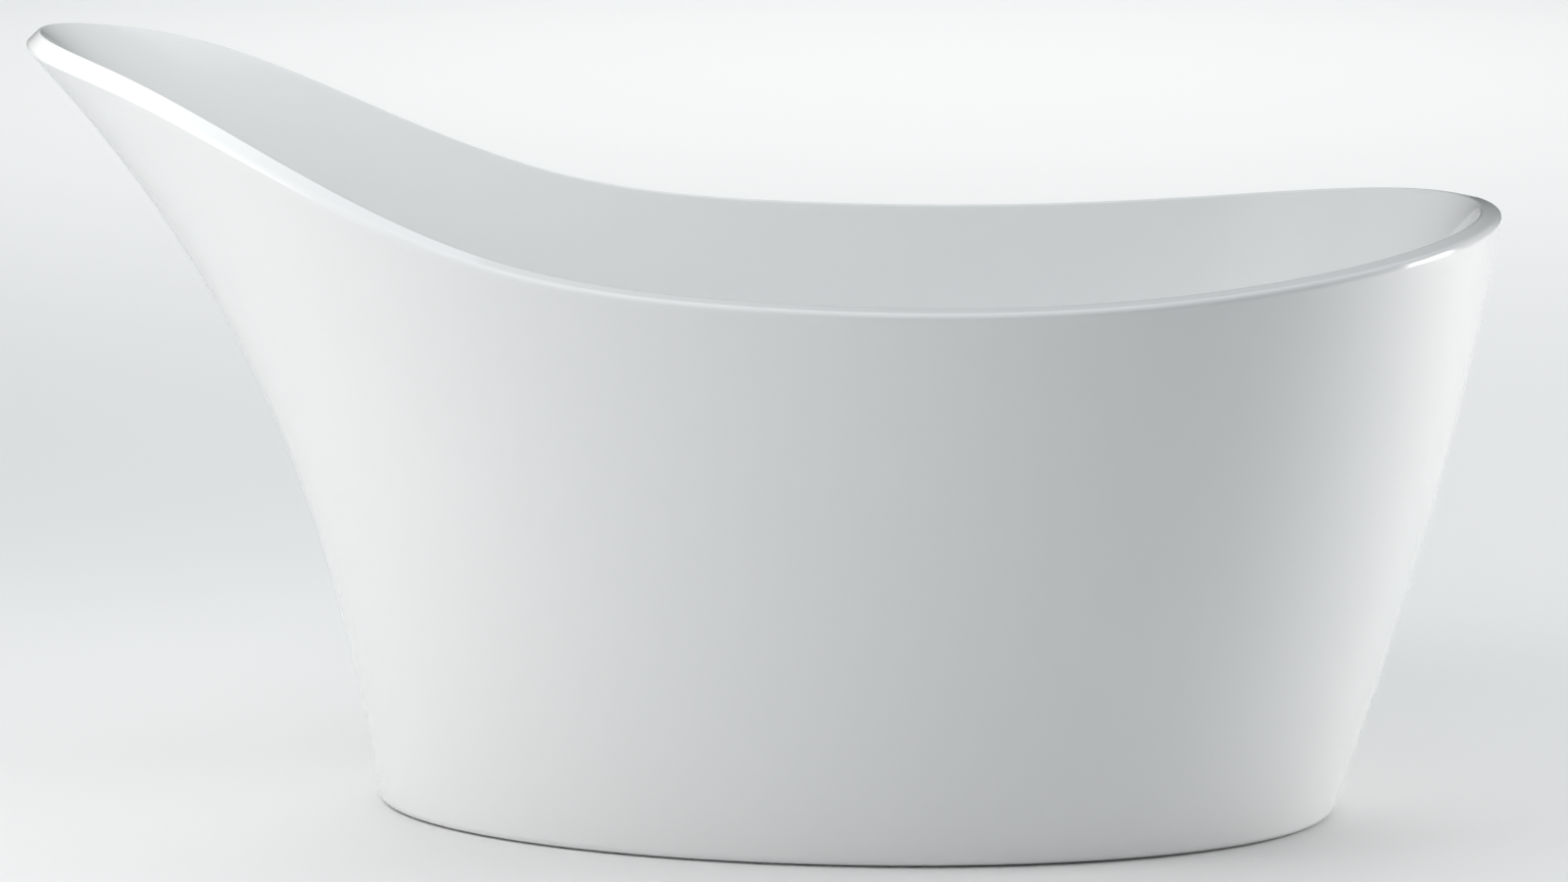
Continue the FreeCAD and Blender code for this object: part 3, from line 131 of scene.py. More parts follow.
floor_material, _, _ = new_material("studio_floor", FLOOR_GREY, 0.9)
floor_mesh = bmesh.new()
bmesh.ops.create_circle(floor_mesh, cap_ends=True, segments=64, radius=FLOOR_RADIUS)
floor = as_object("studio_floor", floor_mesh, floor_material)

# ---------------------------------------------------------------- outer form of the bath
# Bowl and skirt share one flared wall: a cubic at every angle round the bath, from the base
# line on the floor to the rim, steered by shares of the flare at the two ends and the sides.

RIM_ENDS = (-0.82185, 0.82019)
RIM_HALF_WIDTH = 0.40105
RIM_STATIONS = ((-1, 0.8615), (-0.85, 0.8363), (-0.6, 0.7519), (-0.35, 0.6717), (0, 0.6326),
                (0.5, 0.6371), (1, 0.6875))
RIM_RISES = (-0.135, 0.123)
PLAN = (0.2, 0.239, 0.06)
BASE_ENDS = (-0.4368, 0.6475)
BASE_HALF_WIDTH = 0.2773
BASE_PLAN = (0.017, 0.009)
FLARE_LOW = (0.105, 0.352, 0.453)
FLARE_HIGH = (0.297, 0.684, 0.791)
SIDE_STEP = 1e-4
COLUMNS = 288
SOFT_EDGE = math.radians(35)


def spline_through(stations, rises):
    """Cubic spline with given end slopes through (place, value) stations, as a function."""
    xs = [x for x, y in stations]
    ys = [y for x, y in stations]
    last = len(xs) - 1
    gaps = [xs[i + 1] - xs[i] for i in range(last)]
    slopes = [(ys[i + 1] - ys[i]) / gaps[i] for i in range(last)]
    slants = [rises[0]] + slopes[1:] + [rises[1]]
    for _ in range(200):
        for i in range(1, last):
            pull = 3 * (slopes[i - 1] / gaps[i - 1] + slopes[i] / gaps[i])
            pull -= slants[i - 1] / gaps[i - 1] + slants[i + 1] / gaps[i]
            slants[i] = pull / (2 / gaps[i - 1] + 2 / gaps[i])

    def value(x):
        i = max(k for k in range(last) if xs[k] <= x or k == 0)
        u = (x - xs[i]) / gaps[i]
        start = (1 + 2 * u) * (1 - u) ** 2 * ys[i] + u * (1 - u) ** 2 * gaps[i] * slants[i]
        end = u ** 2 * (3 - 2 * u) * ys[i + 1] + u ** 2 * (u - 1) * gaps[i] * slants[i + 1]
        return start + end
    return value


rim_height = spline_through(RIM_STATIONS, RIM_RISES)


def blend(along, values):
    """A value between those at the raised end (along -1), the sides (0) and the foot (1)."""
    tip, side, foot = values
    return side + (foot - tip) / 2 * along + ((foot + tip) / 2 - side) * along ** 2


def plan_half(angle):
    along = math.cos(angle)
    fuller = PLAN[0] * along + PLAN[1] * along ** 2 + PLAN[2] * along ** 3
    return math.sin(angle) * (1 + fuller)


plan_widest = max(plan_half(math.pi * i / 720) for i in range(721))


def between_ends(ends, along):
    return (ends[0] + ends[1]) / 2 + (ends[1] - ends[0]) / 2 * along


def rim_point(angle):
    along = math.cos(angle)
    y = RIM_HALF_WIDTH * plan_half(angle) / plan_widest
    return Vector((between_ends(RIM_ENDS, along), y, rim_height(along)))


def base_point(angle):
    along = math.cos(angle)
    fuller = 1 + BASE_PLAN[0] * along + BASE_PLAN[1] * along ** 2
    return Vector((between_ends(BASE_ENDS, along), BASE_HALF_WIDTH * math.sin(angle) * fuller, 0))


class Wall:
    """The outer wall at one angle: its point and its directions at a share of the height."""

    def __init__(self, angle):
        along = math.cos(angle)
        self.along = along
        self.base = base_point(angle)
        self.rim = rim_point(angle)
        flare = Vector((self.rim.x - self.base.x, self.rim.y - self.base.y, 0))
        third = Vector((0, 0, self.rim.z / 3))
        self.low = self.base + flare * blend(along, FLARE_LOW) + third
        self.high = self.base + flare * blend(along, FLARE_HIGH) + third * 2

    def at(self, share):
        rest = 1 - share
        lower = self.base * rest ** 3 + self.low * (3 * share * rest ** 2)
        return lower + self.high * (3 * share ** 2 * rest) + self.rim * share ** 3

    def rise(self, share):
        rest = 1 - share
        lower = (self.low - self.base) * rest ** 2
        lower += (self.high - self.low) * (2 * share * rest)
        return (lower + (self.rim - self.high) * share ** 2) * 3


class Column:
    """Outer wall at one angle with its neighbours, so that it knows which way is out."""

    def __init__(self, angle):
        self.wall = Wall(angle)
        self.ahead = Wall(angle + SIDE_STEP)
        self.behind = Wall(angle - SIDE_STEP)
        self.level_out = (self.ahead.base - self.behind.base).cross(Vector((0, 0, 1))).normalized()
        self.angle = angle

    def out(self, share):
        side = self.ahead.at(share) - self.behind.at(share)
        return side.cross(self.wall.rise(share)).normalized()

    def inside(self, share, depth):
        return self.wall.at(share) - self.out(share) * depth

    def below_rim(self, distance):
        return 1 - distance / self.wall.rise(1).length


def steps(low, high, count, ends=0.0):
    """Evenly spaced values, or crowded towards both ends with ends above zero."""
    spaced = []
    for i in range(count + 1):
        u = i / count
        spaced.append(low + (high - low) * (u - ends * math.sin(2 * math.pi * u) / (2 * math.pi)))
    return spaced


def arc_points(corner, start_way, end_way, radius, count):
    """Points of a rounded right-angled corner, from one side to the other."""
    centre = corner + (start_way + end_way) * radius
    return [centre - start_way * (radius * math.sin(turn)) - end_way * (radius * math.cos(turn))
            for turn in (math.pi / 2 * i / count for i in range(count + 1))]


def cubic_points(poles, count):
    a, b, c, d = poles
    return [a * (1 - u) ** 3 + b * (3 * u * (1 - u) ** 2) + c * (3 * u ** 2 * (1 - u)) + d * u ** 3
            for u in (i / count for i in range(count + 1))]


def shade_soft(bm, limit):
    """Smooth faces, with a crisp edge wherever two of them meet at more than a limit."""
    for face in bm.faces:
        face.smooth = True
    for edge in bm.edges:
        edge.smooth = edge.calc_face_angle(0) < limit


def round_surface(name, columns, material):
    """A surface that goes all round: each column is a list of points, first to last."""
    count = len(columns)
    rows = len(columns[0]) - 1
    bm = bmesh.new()
    bmesh.ops.create_grid(bm, x_segments=count, y_segments=rows, size=0.5)
    for vertex in bm.verts:
        column = round((vertex.co.x + 0.5) * count) % count
        vertex.co = columns[column][round((vertex.co.y + 0.5) * rows)]
    bmesh.ops.remove_doubles(bm, verts=bm.verts, dist=1e-6)
    bmesh.ops.dissolve_degenerate(bm, edges=bm.edges, dist=1e-7)
    bmesh.ops.recalc_face_normals(bm, faces=bm.faces)
    shade_soft(bm, SOFT_EDGE)
    return as_object(name, bm, material)


def wall_columns(profile):
    return [profile(Column(math.pi / 2 + 2 * math.pi * i / COLUMNS)) for i in range(COLUMNS)]


# Polished cast resin: a clear gloss skin over a faintly cool white, with the very slight
# orange peel of the hand-finished surface and a gloss that drifts in broad patches.
gloss_white, tree, shader = new_material("gloss_white", (0.86, 0.87, 0.875), 0.16)
shader.inputs["IOR"].default_value = 1.5
shader.inputs["Coat Weight"].default_value = 0.6
shader.inputs["Coat Roughness"].default_value = 0.03
place = tree.nodes.new("ShaderNodeTexCoord")
peel = tree.nodes.new("ShaderNodeTexNoise")
peel.inputs["Scale"].default_value = 90
peel.inputs["Detail"].default_value = 2
cloud = tree.nodes.new("ShaderNodeTexNoise")
cloud.inputs["Scale"].default_value = 7
cloud.inputs["Detail"].default_value = 5
spread = tree.nodes.new("ShaderNodeMapRange")
spread.inputs["To Min"].default_value = 0.12
spread.inputs["To Max"].default_value = 0.21
bump = tree.nodes.new("ShaderNodeBump")
bump.inputs["Strength"].default_value = 0.03
bump.inputs["Distance"].default_value = 0.0006
tree.links.new(place.outputs["Object"], peel.inputs["Vector"])
tree.links.new(place.outputs["Object"], cloud.inputs["Vector"])
tree.links.new(cloud.outputs["Fac"], spread.inputs["Value"])
tree.links.new(spread.outputs["Result"], shader.inputs["Roughness"])
tree.links.new(peel.outputs["Fac"], bump.inputs["Height"])
tree.links.new(bump.outputs["Normal"], shader.inputs["Normal"])

# ---------------------------------------------------------------- outer skirt
# The flared outside wall, cast as one hollow ring with an inward flange at the floor. Its top
# edge is bonded to the rim's lip and rubbed down, so that the joint doesn't show.

SKIRT_WALL = 0.008
SKIRT_GAP = 0.001
SKIRT_BASE_RADIUS = 0.010
SKIRT_FLANGE = 0.030
SEAM_DROP = 0.022


def skirt_profile(column):
    wall = column.wall
    turn = (SKIRT_GAP + SKIRT_BASE_RADIUS) / wall.rim.z
    seam = column.below_rim(SEAM_DROP)
    sill = (SKIRT_GAP + SKIRT_WALL) / wall.rim.z
    sole = wall.base - column.level_out * SKIRT_BASE_RADIUS + Vector((0, 0, SKIRT_GAP))
    flange = wall.base - column.level_out * SKIRT_FLANGE + Vector((0, 0, SKIRT_GAP))
    reach = SKIRT_BASE_RADIUS * 4 / 3 * math.tan(math.pi / 8)
    start = wall.at(turn)
    edge = cubic_points((sole, sole + column.level_out * reach,
                         start - wall.rise(turn).normalized() * reach, start), 8)
    points = [flange, sole * 0.95 + flange * 0.05] + edge
    points += [wall.at(share) for share in steps(turn, seam, 72, 0.3)[1:]]
    points += [column.inside(share, SKIRT_WALL) for share in steps(seam, sill, 24)]
    points += [flange + Vector((0, 0, SKIRT_WALL)), flange]
    return points


skirt = round_surface("outer_skirt_shell", wall_columns(skirt_profile), gloss_white)
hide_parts("outer_skirt")
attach(skirt, "bath")

# ---------------------------------------------------------------- inner bowl
# Bathing surface, flat rim band and short outer lip, one casting. The band stands square to
# the wall all the way round, so it tilts with the flare of the raised end.

RIM_WIDTH = 0.0244
RIM_OUTER_RADIUS = 0.007
RIM_INNER_RADIUS = 0.003
RIM_THICKNESS = 0.010
BOWL_WALL = 0.008
BOWL_FLOOR = 0.150
BOWL_GROWTH = (0.050, 0.060, 0.170)
BOWL_BEND = 0.5
BEND_REACH = (0.35, 0.4)
FLOOR_ENDS = (-0.330, 0.540)
FLOOR_HALF_WIDTH = 0.185
FLOOR_RINGS = 10


def bowl_profile(column):
    wall = column.wall
    growth = blend(wall.along, BOWL_GROWTH)

    def face(share):
        return column.inside(share, RIM_WIDTH + (1 - share) * growth)

    def back(share):
        return column.inside(share, RIM_WIDTH + (1 - share) * growth - BOWL_WALL)

    def bend(surface, level, extra):
        end = surface(BOWL_BEND)
        down = (end - surface(BOWL_BEND + 0.01)).normalized()
        x = between_ends(FLOOR_ENDS, wall.along)
        edge = Vector((x, FLOOR_HALF_WIDTH * math.sin(column.angle), level))
        gap = (edge - end).length
        return edge, (edge, edge + column.level_out * (BEND_REACH[0] * gap + extra),
                      end + down * (BEND_REACH[1] * gap + extra), end)

    edge, poles = bend(face, BOWL_FLOOR, 0)
    middle = Vector((between_ends(FLOOR_ENDS, 0), 0, BOWL_FLOOR))
    points = [middle.lerp(edge, share) for share in steps(0, 1, FLOOR_RINGS)[:-1]]
    points += cubic_points(poles, 30)
    top = column.below_rim(RIM_INNER_RADIUS)
    points += [face(share) for share in steps(BOWL_BEND, top, 48, 0.3)[1:-1]]
    out = column.out(1)
    up = (face(top) - face(top - 0.01)).normalized()
    inner_corner = column.inside(1, RIM_WIDTH)
    points += arc_points(inner_corner, -up, out, RIM_INNER_RADIUS, 5)
    rise = wall.rise(1).normalized()
    band = steps(RIM_WIDTH - RIM_INNER_RADIUS, RIM_OUTER_RADIUS, 6, 0.8)
    points += [column.inside(1, depth) for depth in band[1:-1]]
    points += arc_points(wall.at(1), -out, -rise, RIM_OUTER_RADIUS, 8)
    seam = column.below_rim(SEAM_DROP)
    lip = steps(column.below_rim(RIM_OUTER_RADIUS), seam, 6, 0.5)
    points += [wall.at(share) for share in lip[1:]]
    under = column.below_rim(RIM_THICKNESS)
    points += [column.inside(share, SKIRT_WALL) for share in steps(seam, under, 3)]
    points += [back(share) for share in steps(under, BOWL_BEND, 24)]
    below, poles = bend(back, BOWL_FLOOR - BOWL_WALL, 0.4 * BOWL_WALL)
    points += cubic_points(poles[::-1], 16)[1:]
    middle = middle - Vector((0, 0, BOWL_WALL))
    points += [below.lerp(middle, share) for share in steps(0, 1, FLOOR_RINGS // 2)[1:]]
    return points


bowl = round_surface("inner_bowl_shell", wall_columns(bowl_profile), gloss_white)
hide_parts("inner_bowl")
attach(bowl, "bath")

# Holes for the waste and the overflow, cut clean through with their flat seats. The wall is
# thicker behind the overflow, whose axis stands square to it on the centre line of the foot.
WASTE_SEAT = (0.0385, 0.003)
WASTE_HOLE = 0.026
OVERFLOW_HEIGHT = 0.540
OVERFLOW_SEAT = 0.034
OVERFLOW_HOLE = 0.017
OVERFLOW_BOSS = (0.030, 0.010)
CUT_EDGE = math.radians(30)
foot_column = Column(0)
overflow_share = OVERFLOW_HEIGHT / foot_column.wall.rim.z


def bowl_face(share):
    return foot_column.inside(share, RIM_WIDTH + (1 - share) * BOWL_GROWTH[2])


waste_axis = (Vector(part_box("waste_flange")[0]) + Vector(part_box("waste_flange")[1])) / 2
waste_x = waste_axis.x
overflow_up = (bowl_face(overflow_share + 0.01) - bowl_face(overflow_share)).normalized()
overflow_in = overflow_up.cross(Vector((0, 1, 0)))
if overflow_in.x > 0:
    overflow_in.negate()
overflow_place = Matrix.Translation(bowl_face(overflow_share)) @ Matrix(
    (overflow_up, overflow_in.cross(overflow_up), overflow_in)).transposed().to_4x4()


def cut_rod(target, radius, low, high, place, operation="DIFFERENCE"):
    """Cuts a cylinder between two levels out of a piece, or joins it on, and applies that."""
    bm = bmesh.new()
    bmesh.ops.create_cone(bm, cap_ends=True, segments=96, radius1=radius, radius2=radius,
                          depth=high - low)
    bmesh.ops.translate(bm, verts=bm.verts, vec=(0, 0, (low + high) / 2))
    bmesh.ops.transform(bm, matrix=place, verts=bm.verts)
    shade_soft(bm, SOFT_EDGE)
    tool = as_object("cut_tool", bm, target.data.materials[0])
    change = target.modifiers.new("cut", "BOOLEAN")
    change.operation = operation
    change.object = tool
    shaped = bpy.data.meshes.new_from_object(
        target.evaluated_get(bpy.context.evaluated_depsgraph_get()))
    target.modifiers.clear()
    target.data = shaped
    bpy.data.objects.remove(tool)


over_waste = Matrix.Translation((waste_x, 0, BOWL_FLOOR))
cut_rod(bowl, OVERFLOW_BOSS[0], -OVERFLOW_BOSS[1], -BOWL_WALL / 2, overflow_place, "UNION")
cut_rod(bowl, OVERFLOW_SEAT, 0, 0.02, overflow_place)
cut_rod(bowl, OVERFLOW_HOLE, -0.03, 0.03, overflow_place)
cut_rod(bowl, WASTE_SEAT[0], -WASTE_SEAT[1], 0.02, over_waste)
cut_rod(bowl, WASTE_HOLE, -0.03, 0.03, over_waste)

# The cuts leave new rims, which are shaded as crisp edges.
cut_bowl = bmesh.new()
cut_bowl.from_mesh(bowl.data)
shade_soft(cut_bowl, CUT_EDGE)
cut_bowl.to_mesh(bowl.data)
cut_bowl.free()

# ---------------------------------------------------------------- bond bead
# A bead of cream structural adhesive, laid in the slot under the rim before the skirt goes on.
# It sets there out of sight and holds the two skins together.


def detailed(name, light, dark, roughness, metallic, grain, relief, stretch=(1, 1, 1)):
    """A material whose colour and roughness drift between two values with fine relief."""
    material, tree, shader = new_material(name, light, roughness[0], metallic)
    place = tree.nodes.new("ShaderNodeTexCoord")
    scaled = tree.nodes.new("ShaderNodeMapping")
    scaled.inputs["Scale"].default_value = stretch
    drift = tree.nodes.new("ShaderNodeTexNoise")
    drift.inputs["Scale"].default_value = grain
    drift.inputs["Detail"].default_value = 6
    tint = tree.nodes.new("ShaderNodeMix")
    tint.data_type = "RGBA"
    tint.inputs[6].default_value = (*light, 1)
    tint.inputs[7].default_value = (*dark, 1)
    gloss = tree.nodes.new("ShaderNodeMapRange")
    gloss.inputs["To Min"].default_value = roughness[0]
    gloss.inputs["To Max"].default_value = roughness[1]
    bump = tree.nodes.new("ShaderNodeBump")
    bump.inputs["Strength"].default_value = 0.25
    bump.inputs["Distance"].default_value = relief
    tree.links.new(place.outputs["Object"], scaled.inputs["Vector"])
    tree.links.new(scaled.outputs["Vector"], drift.inputs["Vector"])
    tree.links.new(drift.outputs["Fac"], tint.inputs[0])
    tree.links.new(tint.outputs[2], shader.inputs["Base Color"])
    tree.links.new(drift.outputs["Fac"], gloss.inputs["Value"])
    tree.links.new(gloss.outputs["Result"], shader.inputs["Roughness"])
    tree.links.new(drift.outputs["Fac"], bump.inputs["Height"])
    tree.links.new(bump.outputs["Normal"], shader.inputs["Normal"])
    return material


def finished(material, *names):
    """Gives CAD nodes that keep their own shape a material."""
    for name in names:
        nodes[name].material_slots[0].material = material


bond = detailed("bond", (0.80, 0.77, 0.68), (0.72, 0.69, 0.60), (0.5, 0.7), 0, 60, 0.0006)
finished(bond, "rim_bond")

# ---------------------------------------------------------------- base board
# Sealed birch plywood, laminated under the bowl floor to stiffen it and to take the screws of
# the rails. It shows long grain on its faces and its plies on the edges.

plywood, tree, shader = new_material("plywood", (0.66, 0.48, 0.30), 0.5)
place = tree.nodes.new("ShaderNodeTexCoord")
along_grain = tree.nodes.new("ShaderNodeMapping")
along_grain.inputs["Scale"].default_value = (2.5, 45, 45)
grain = tree.nodes.new("ShaderNodeTexNoise")
grain.inputs["Scale"].default_value = 1.6
grain.inputs["Detail"].default_value = 8
plies = tree.nodes.new("ShaderNodeTexWave")
plies.bands_direction = "Z"
plies.inputs["Scale"].default_value = 110
plies.inputs["Distortion"].default_value = 0.3
mix_grain = tree.nodes.new("ShaderNodeMix")
mix_grain.data_type = "RGBA"
mix_grain.inputs[6].default_value = (0.74, 0.57, 0.37, 1)
mix_grain.inputs[7].default_value = (0.52, 0.35, 0.19, 1)
mix_plies = tree.nodes.new("ShaderNodeMix")
mix_plies.data_type = "RGBA"
mix_plies.blend_type = "MULTIPLY"
mix_plies.inputs[0].default_value = 0.35
bump = tree.nodes.new("ShaderNodeBump")
bump.inputs["Strength"].default_value = 0.3
bump.inputs["Distance"].default_value = 0.0004
tree.links.new(place.outputs["Object"], along_grain.inputs["Vector"])
tree.links.new(along_grain.outputs["Vector"], grain.inputs["Vector"])
tree.links.new(place.outputs["Object"], plies.inputs["Vector"])
tree.links.new(grain.outputs["Fac"], mix_grain.inputs[0])
tree.links.new(mix_grain.outputs[2], mix_plies.inputs[6])
tree.links.new(plies.outputs["Color"], mix_plies.inputs[7])
tree.links.new(mix_plies.outputs[2], shader.inputs["Base Color"])
tree.links.new(grain.outputs["Fac"], bump.inputs["Height"])
tree.links.new(bump.outputs["Normal"], shader.inputs["Normal"])
finished(plywood, "base_board")

# ---------------------------------------------------------------- cross rails
# Two channels folded from galvanised sheet, screwed across the board to carry the feet. The
# zinc shows its pale and dark crystals.

galvanised, tree, shader = new_material("galvanised", (0.60, 0.62, 0.64), 0.42, 0.9)
place = tree.nodes.new("ShaderNodeTexCoord")
spangle = tree.nodes.new("ShaderNodeTexVoronoi")
spangle.inputs["Scale"].default_value = 130
crystal = tree.nodes.new("ShaderNodeMix")
crystal.data_type = "RGBA"
crystal.inputs[6].default_value = (0.66, 0.68, 0.70, 1)
crystal.inputs[7].default_value = (0.44, 0.46, 0.48, 1)
gloss = tree.nodes.new("ShaderNodeMapRange")
gloss.inputs["To Min"].default_value = 0.3
gloss.inputs["To Max"].default_value = 0.55
tree.links.new(place.outputs["Object"], spangle.inputs["Vector"])
tree.links.new(spangle.outputs["Color"], crystal.inputs[0])
tree.links.new(spangle.outputs["Color"], gloss.inputs["Value"])
tree.links.new(crystal.outputs[2], shader.inputs["Base Color"])
tree.links.new(gloss.outputs["Result"], shader.inputs["Roughness"])
finished(galvanised, "rail_tip", "rail_foot")

# ---------------------------------------------------------------- rail screws
# Round headed wood screws with a cross recess, zinc plated steel, three to a rail. They are
# driven up through the rails into the board.

zinc_steel = detailed("zinc_steel", (0.66, 0.67, 0.69), (0.52, 0.53, 0.55), (0.22, 0.4), 1.0,
                      240, 0.00015)


def softened(points, radius):
    """A (radius, height) profile with its corners rounded, its two ends left as they are."""
    result = [points[0]]
    for i in range(1, len(points) - 1):
        corner = Vector(points[i])
        back = Vector(points[i - 1]) - corner
        ahead = Vector(points[i + 1]) - corner
        start = corner + back.normalized() * min(radius, 0.45 * back.length)
        end = corner + ahead.normalized() * min(radius, 0.45 * ahead.length)
        result += [tuple(start), tuple((start + corner * 2 + end) / 4), tuple(end)]
    return result + [points[-1]]


def spun(name, profile, count, material, place):
    """A piece round an axis; profile(angle) gives (radius, height) points, place puts it."""
    columns = []
    for i in range(count):
        angle = 2 * math.pi * i / count
        columns.append([place @ Vector((r * math.cos(angle), r * math.sin(angle), z))
                        for r, z in profile(angle)])
    return round_surface(name, columns, material)


def settle(piece, slot_name, body, *replaced):
    """Ties a piece to its body and hides the CAD nodes it stands for; slot_name is not used."""
    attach(piece, body)
    if replaced:
        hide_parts(*replaced)


def joined(name, pieces):
    """One object from several of one material."""
    bm = bmesh.new()
    for piece in pieces:
        bm.from_mesh(piece.data)
    whole = as_object(name, bm, pieces[0].data.materials[0])
    for piece in pieces:
        bpy.data.objects.remove(piece)
    return whole


def middle_of(name):
    low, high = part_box(name)
    return (Vector(low) + Vector(high)) / 2


SCREW_PITCH = 0.080
SCREW_HEAD = (0.006, 0.003)
RAIL_SHEET = 0.0025


def screw_profile(angle):
    cross = min(abs(math.sin(2 * angle)), 1)
    sink = 0.0012 if cross < 0.45 else 0
    return softened([(0, 0.0013), (0.0012, 0.0013), (0.0030, sink), (0.0034, 0),
                     (0.0050, 0.0006), (SCREW_HEAD[0], SCREW_HEAD[1] - 0.0005),
                     (SCREW_HEAD[0], SCREW_HEAD[1]), (0.0025, SCREW_HEAD[1]),
                     (0.0025, SCREW_HEAD[1] + RAIL_SHEET), (0, SCREW_HEAD[1] + RAIL_SHEET)],
                    0.0003)


screw_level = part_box("rail_screws")[0][2]
rail_screws = [
    spun("rail_screw", screw_profile, 32, zinc_steel,
         Matrix.Translation((middle_of(rail).x, row * SCREW_PITCH, screw_level)))
    for rail in ("rail_tip", "rail_foot") for row in (-1, 0, 1)]
settle(joined("rail_screw_set", rail_screws), "zinc_steel", "bath", "rail_screws")

# ---------------------------------------------------------------- weld nuts and lock nuts
# M12 nuts of zinc plated steel, 19 mm across flats, with 30 degree corner chamfers. The upper
# four are welded to the rails, and the lower four lock the feet.

NUT_FLAT = 0.0095
THREAD_RADIUS = 0.006
NUT_BORE = 0.00615


def hex_reach(angle, flat):
    return flat / math.cos((angle + math.pi / 6) % (math.pi / 3) - math.pi / 6)


def nut_profile(height):
    def profile(angle):
        reach = hex_reach(angle, NUT_FLAT)
        drop = (reach - NUT_FLAT) * math.tan(math.radians(30)) + 0.0002
        face = NUT_FLAT * 0.96
        return [(NUT_BORE, 0.0004), (NUT_BORE + 0.0005, 0), (face, 0), (reach, drop),
                (reach, height - drop), (face, height), (NUT_BORE + 0.0005, height),
                (NUT_BORE, height - 0.0004), (NUT_BORE, 0.0004)]
    return profile


feet = [middle_of("foot_pad_%d" % number) for number in (1, 2, 3, 4)]
for kind in ("weld_nuts", "lock_nuts"):
    low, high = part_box(kind)
    nuts = [spun("nut", nut_profile(high[2] - low[2]), 48, zinc_steel,
                 Matrix.Translation((foot.x, foot.y, low[2]))) for foot in feet]
    settle(joined(kind + "_set", nuts), "zinc_steel", "bath", kind)

# ---------------------------------------------------------------- levelling feet
# Black pads moulded in hard plastic with fine finger ribs, and M12 steel screws with a spanner
# collar and a rolled thread. Each screw stands in its pad's socket and winds in the nuts.

pad_plastic = detailed("pad_plastic", (0.035, 0.035, 0.038), (0.06, 0.06, 0.062), (0.45, 0.65),
                       0, 500, 0.0002)
PAD_RADIUS = 0.025
PAD_HEIGHT = 0.020
PAD_EDGE = 0.008
PAD_NECK = 0.013
PAD_SOCKET = 0.0062
PAD_SOCKET_FLOOR = 0.008
PITCH = 0.00175
THREAD_DEPTH = 0.0010
COLLAR = (0.0202, 0.028)
SEAT_GAP = 0.0002
THREAD_ROWS = 6


def pad_profile(angle):
    rib = 0.0006 * (0.5 - 0.5 * math.cos(36 * angle))
    return [(0, 0.0010), (0.018, 0.0010), (0.0195, 0), (PAD_RADIUS - 0.0012, 0),
            (PAD_RADIUS - rib, 0.0012), (PAD_RADIUS - rib, PAD_EDGE - 0.001),
            (PAD_RADIUS - 0.0014 - rib, PAD_EDGE + 0.0006),
            (PAD_NECK + 0.0006, PAD_HEIGHT - 0.0006), (PAD_NECK - 0.0006, PAD_HEIGHT),
            (PAD_SOCKET + 0.0005, PAD_HEIGHT), (PAD_SOCKET, PAD_HEIGHT - 0.0005),
            (PAD_SOCKET, PAD_SOCKET_FLOOR), (0, PAD_SOCKET_FLOOR)]


def bolt_profile(low, high):
    def profile(angle):
        reach = hex_reach(angle, NUT_FLAT)
        drop = (reach - NUT_FLAT) * math.tan(math.radians(30)) + 0.0002
        core = THREAD_RADIUS - THREAD_DEPTH
        points = [(0, low), (core, low), (THREAD_RADIUS, low + 0.001),
                  (THREAD_RADIUS, COLLAR[0]), (NUT_FLAT * 0.96, COLLAR[0]),
                  (reach, COLLAR[0] + drop), (reach, COLLAR[1] - drop),
                  (NUT_FLAT * 0.96, COLLAR[1]), (core, COLLAR[1]), (core, COLLAR[1] + 0.002)]
        start = COLLAR[1] + 0.002
        rows = round((high - 0.0015 - start) / PITCH * THREAD_ROWS)
        for i in range(1, rows + 1):
            z = start + (high - 0.0015 - start) * i / rows
            ridge = abs(2 * ((z / PITCH - angle / (2 * math.pi)) % 1) - 1)
            grown = min(1, (z - start) / PITCH)
            points.append((core + THREAD_DEPTH * min(1, 1.15 * ridge) * grown, z))
        return points + [(core, high), (0, high)]
    return profile


for number, foot in enumerate(feet, start=1):
    under_foot = Matrix.Translation((foot.x, foot.y, 0))
    pad = spun("foot_pad_%d_ribbed" % number, pad_profile, 144, pad_plastic, under_foot)
    settle(pad, "pad_plastic", "foot_pad_%d" % number, "foot_pad_%d" % number)
    low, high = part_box("foot_screw_%d" % number)
    shank = bolt_profile(low[2] + SEAT_GAP, high[2])
    bolt = spun("foot_screw_%d_threaded" % number, shank, 36, zinc_steel, under_foot)
    settle(bolt, "zinc_steel", "foot_screw_%d" % number, "foot_screw_%d" % number)

# ---------------------------------------------------------------- waste fitting
# Flange of chrome plated brass, screwed down through the floor into a body moulded in white
# plastic, with a rubber seal above and below the floor.

polished_chrome = detailed("polished_chrome", (0.78, 0.79, 0.80), (0.72, 0.73, 0.745),
                           (0.04, 0.10), 1.0, 35, 0.00002)
seal_rubber = detailed("seal_rubber", (0.025, 0.025, 0.026), (0.05, 0.05, 0.05), (0.6, 0.8), 0,
                       400, 0.0002)
trap_plastic = detailed("trap_plastic", (0.84, 0.84, 0.82), (0.78, 0.78, 0.755), (0.28, 0.42), 0,
                        120, 0.00015)
finished(seal_rubber, "flange_seal", "body_seal", "plug_seal", "trap_washer", "cup_seal",
         "outlet_seal", "overflow_seal")
finished(trap_plastic, "waste_body", "trap_body", "overflow_body", "overflow_ring")
finished(polished_chrome, "waste_flange")

# ---------------------------------------------------------------- press-to-open plug
# Domed cap of chrome plated brass on a brass stem, which slides in a turned brass barrel over
# a steel spring. A press on the cap lets it rise, and the next one shuts it.

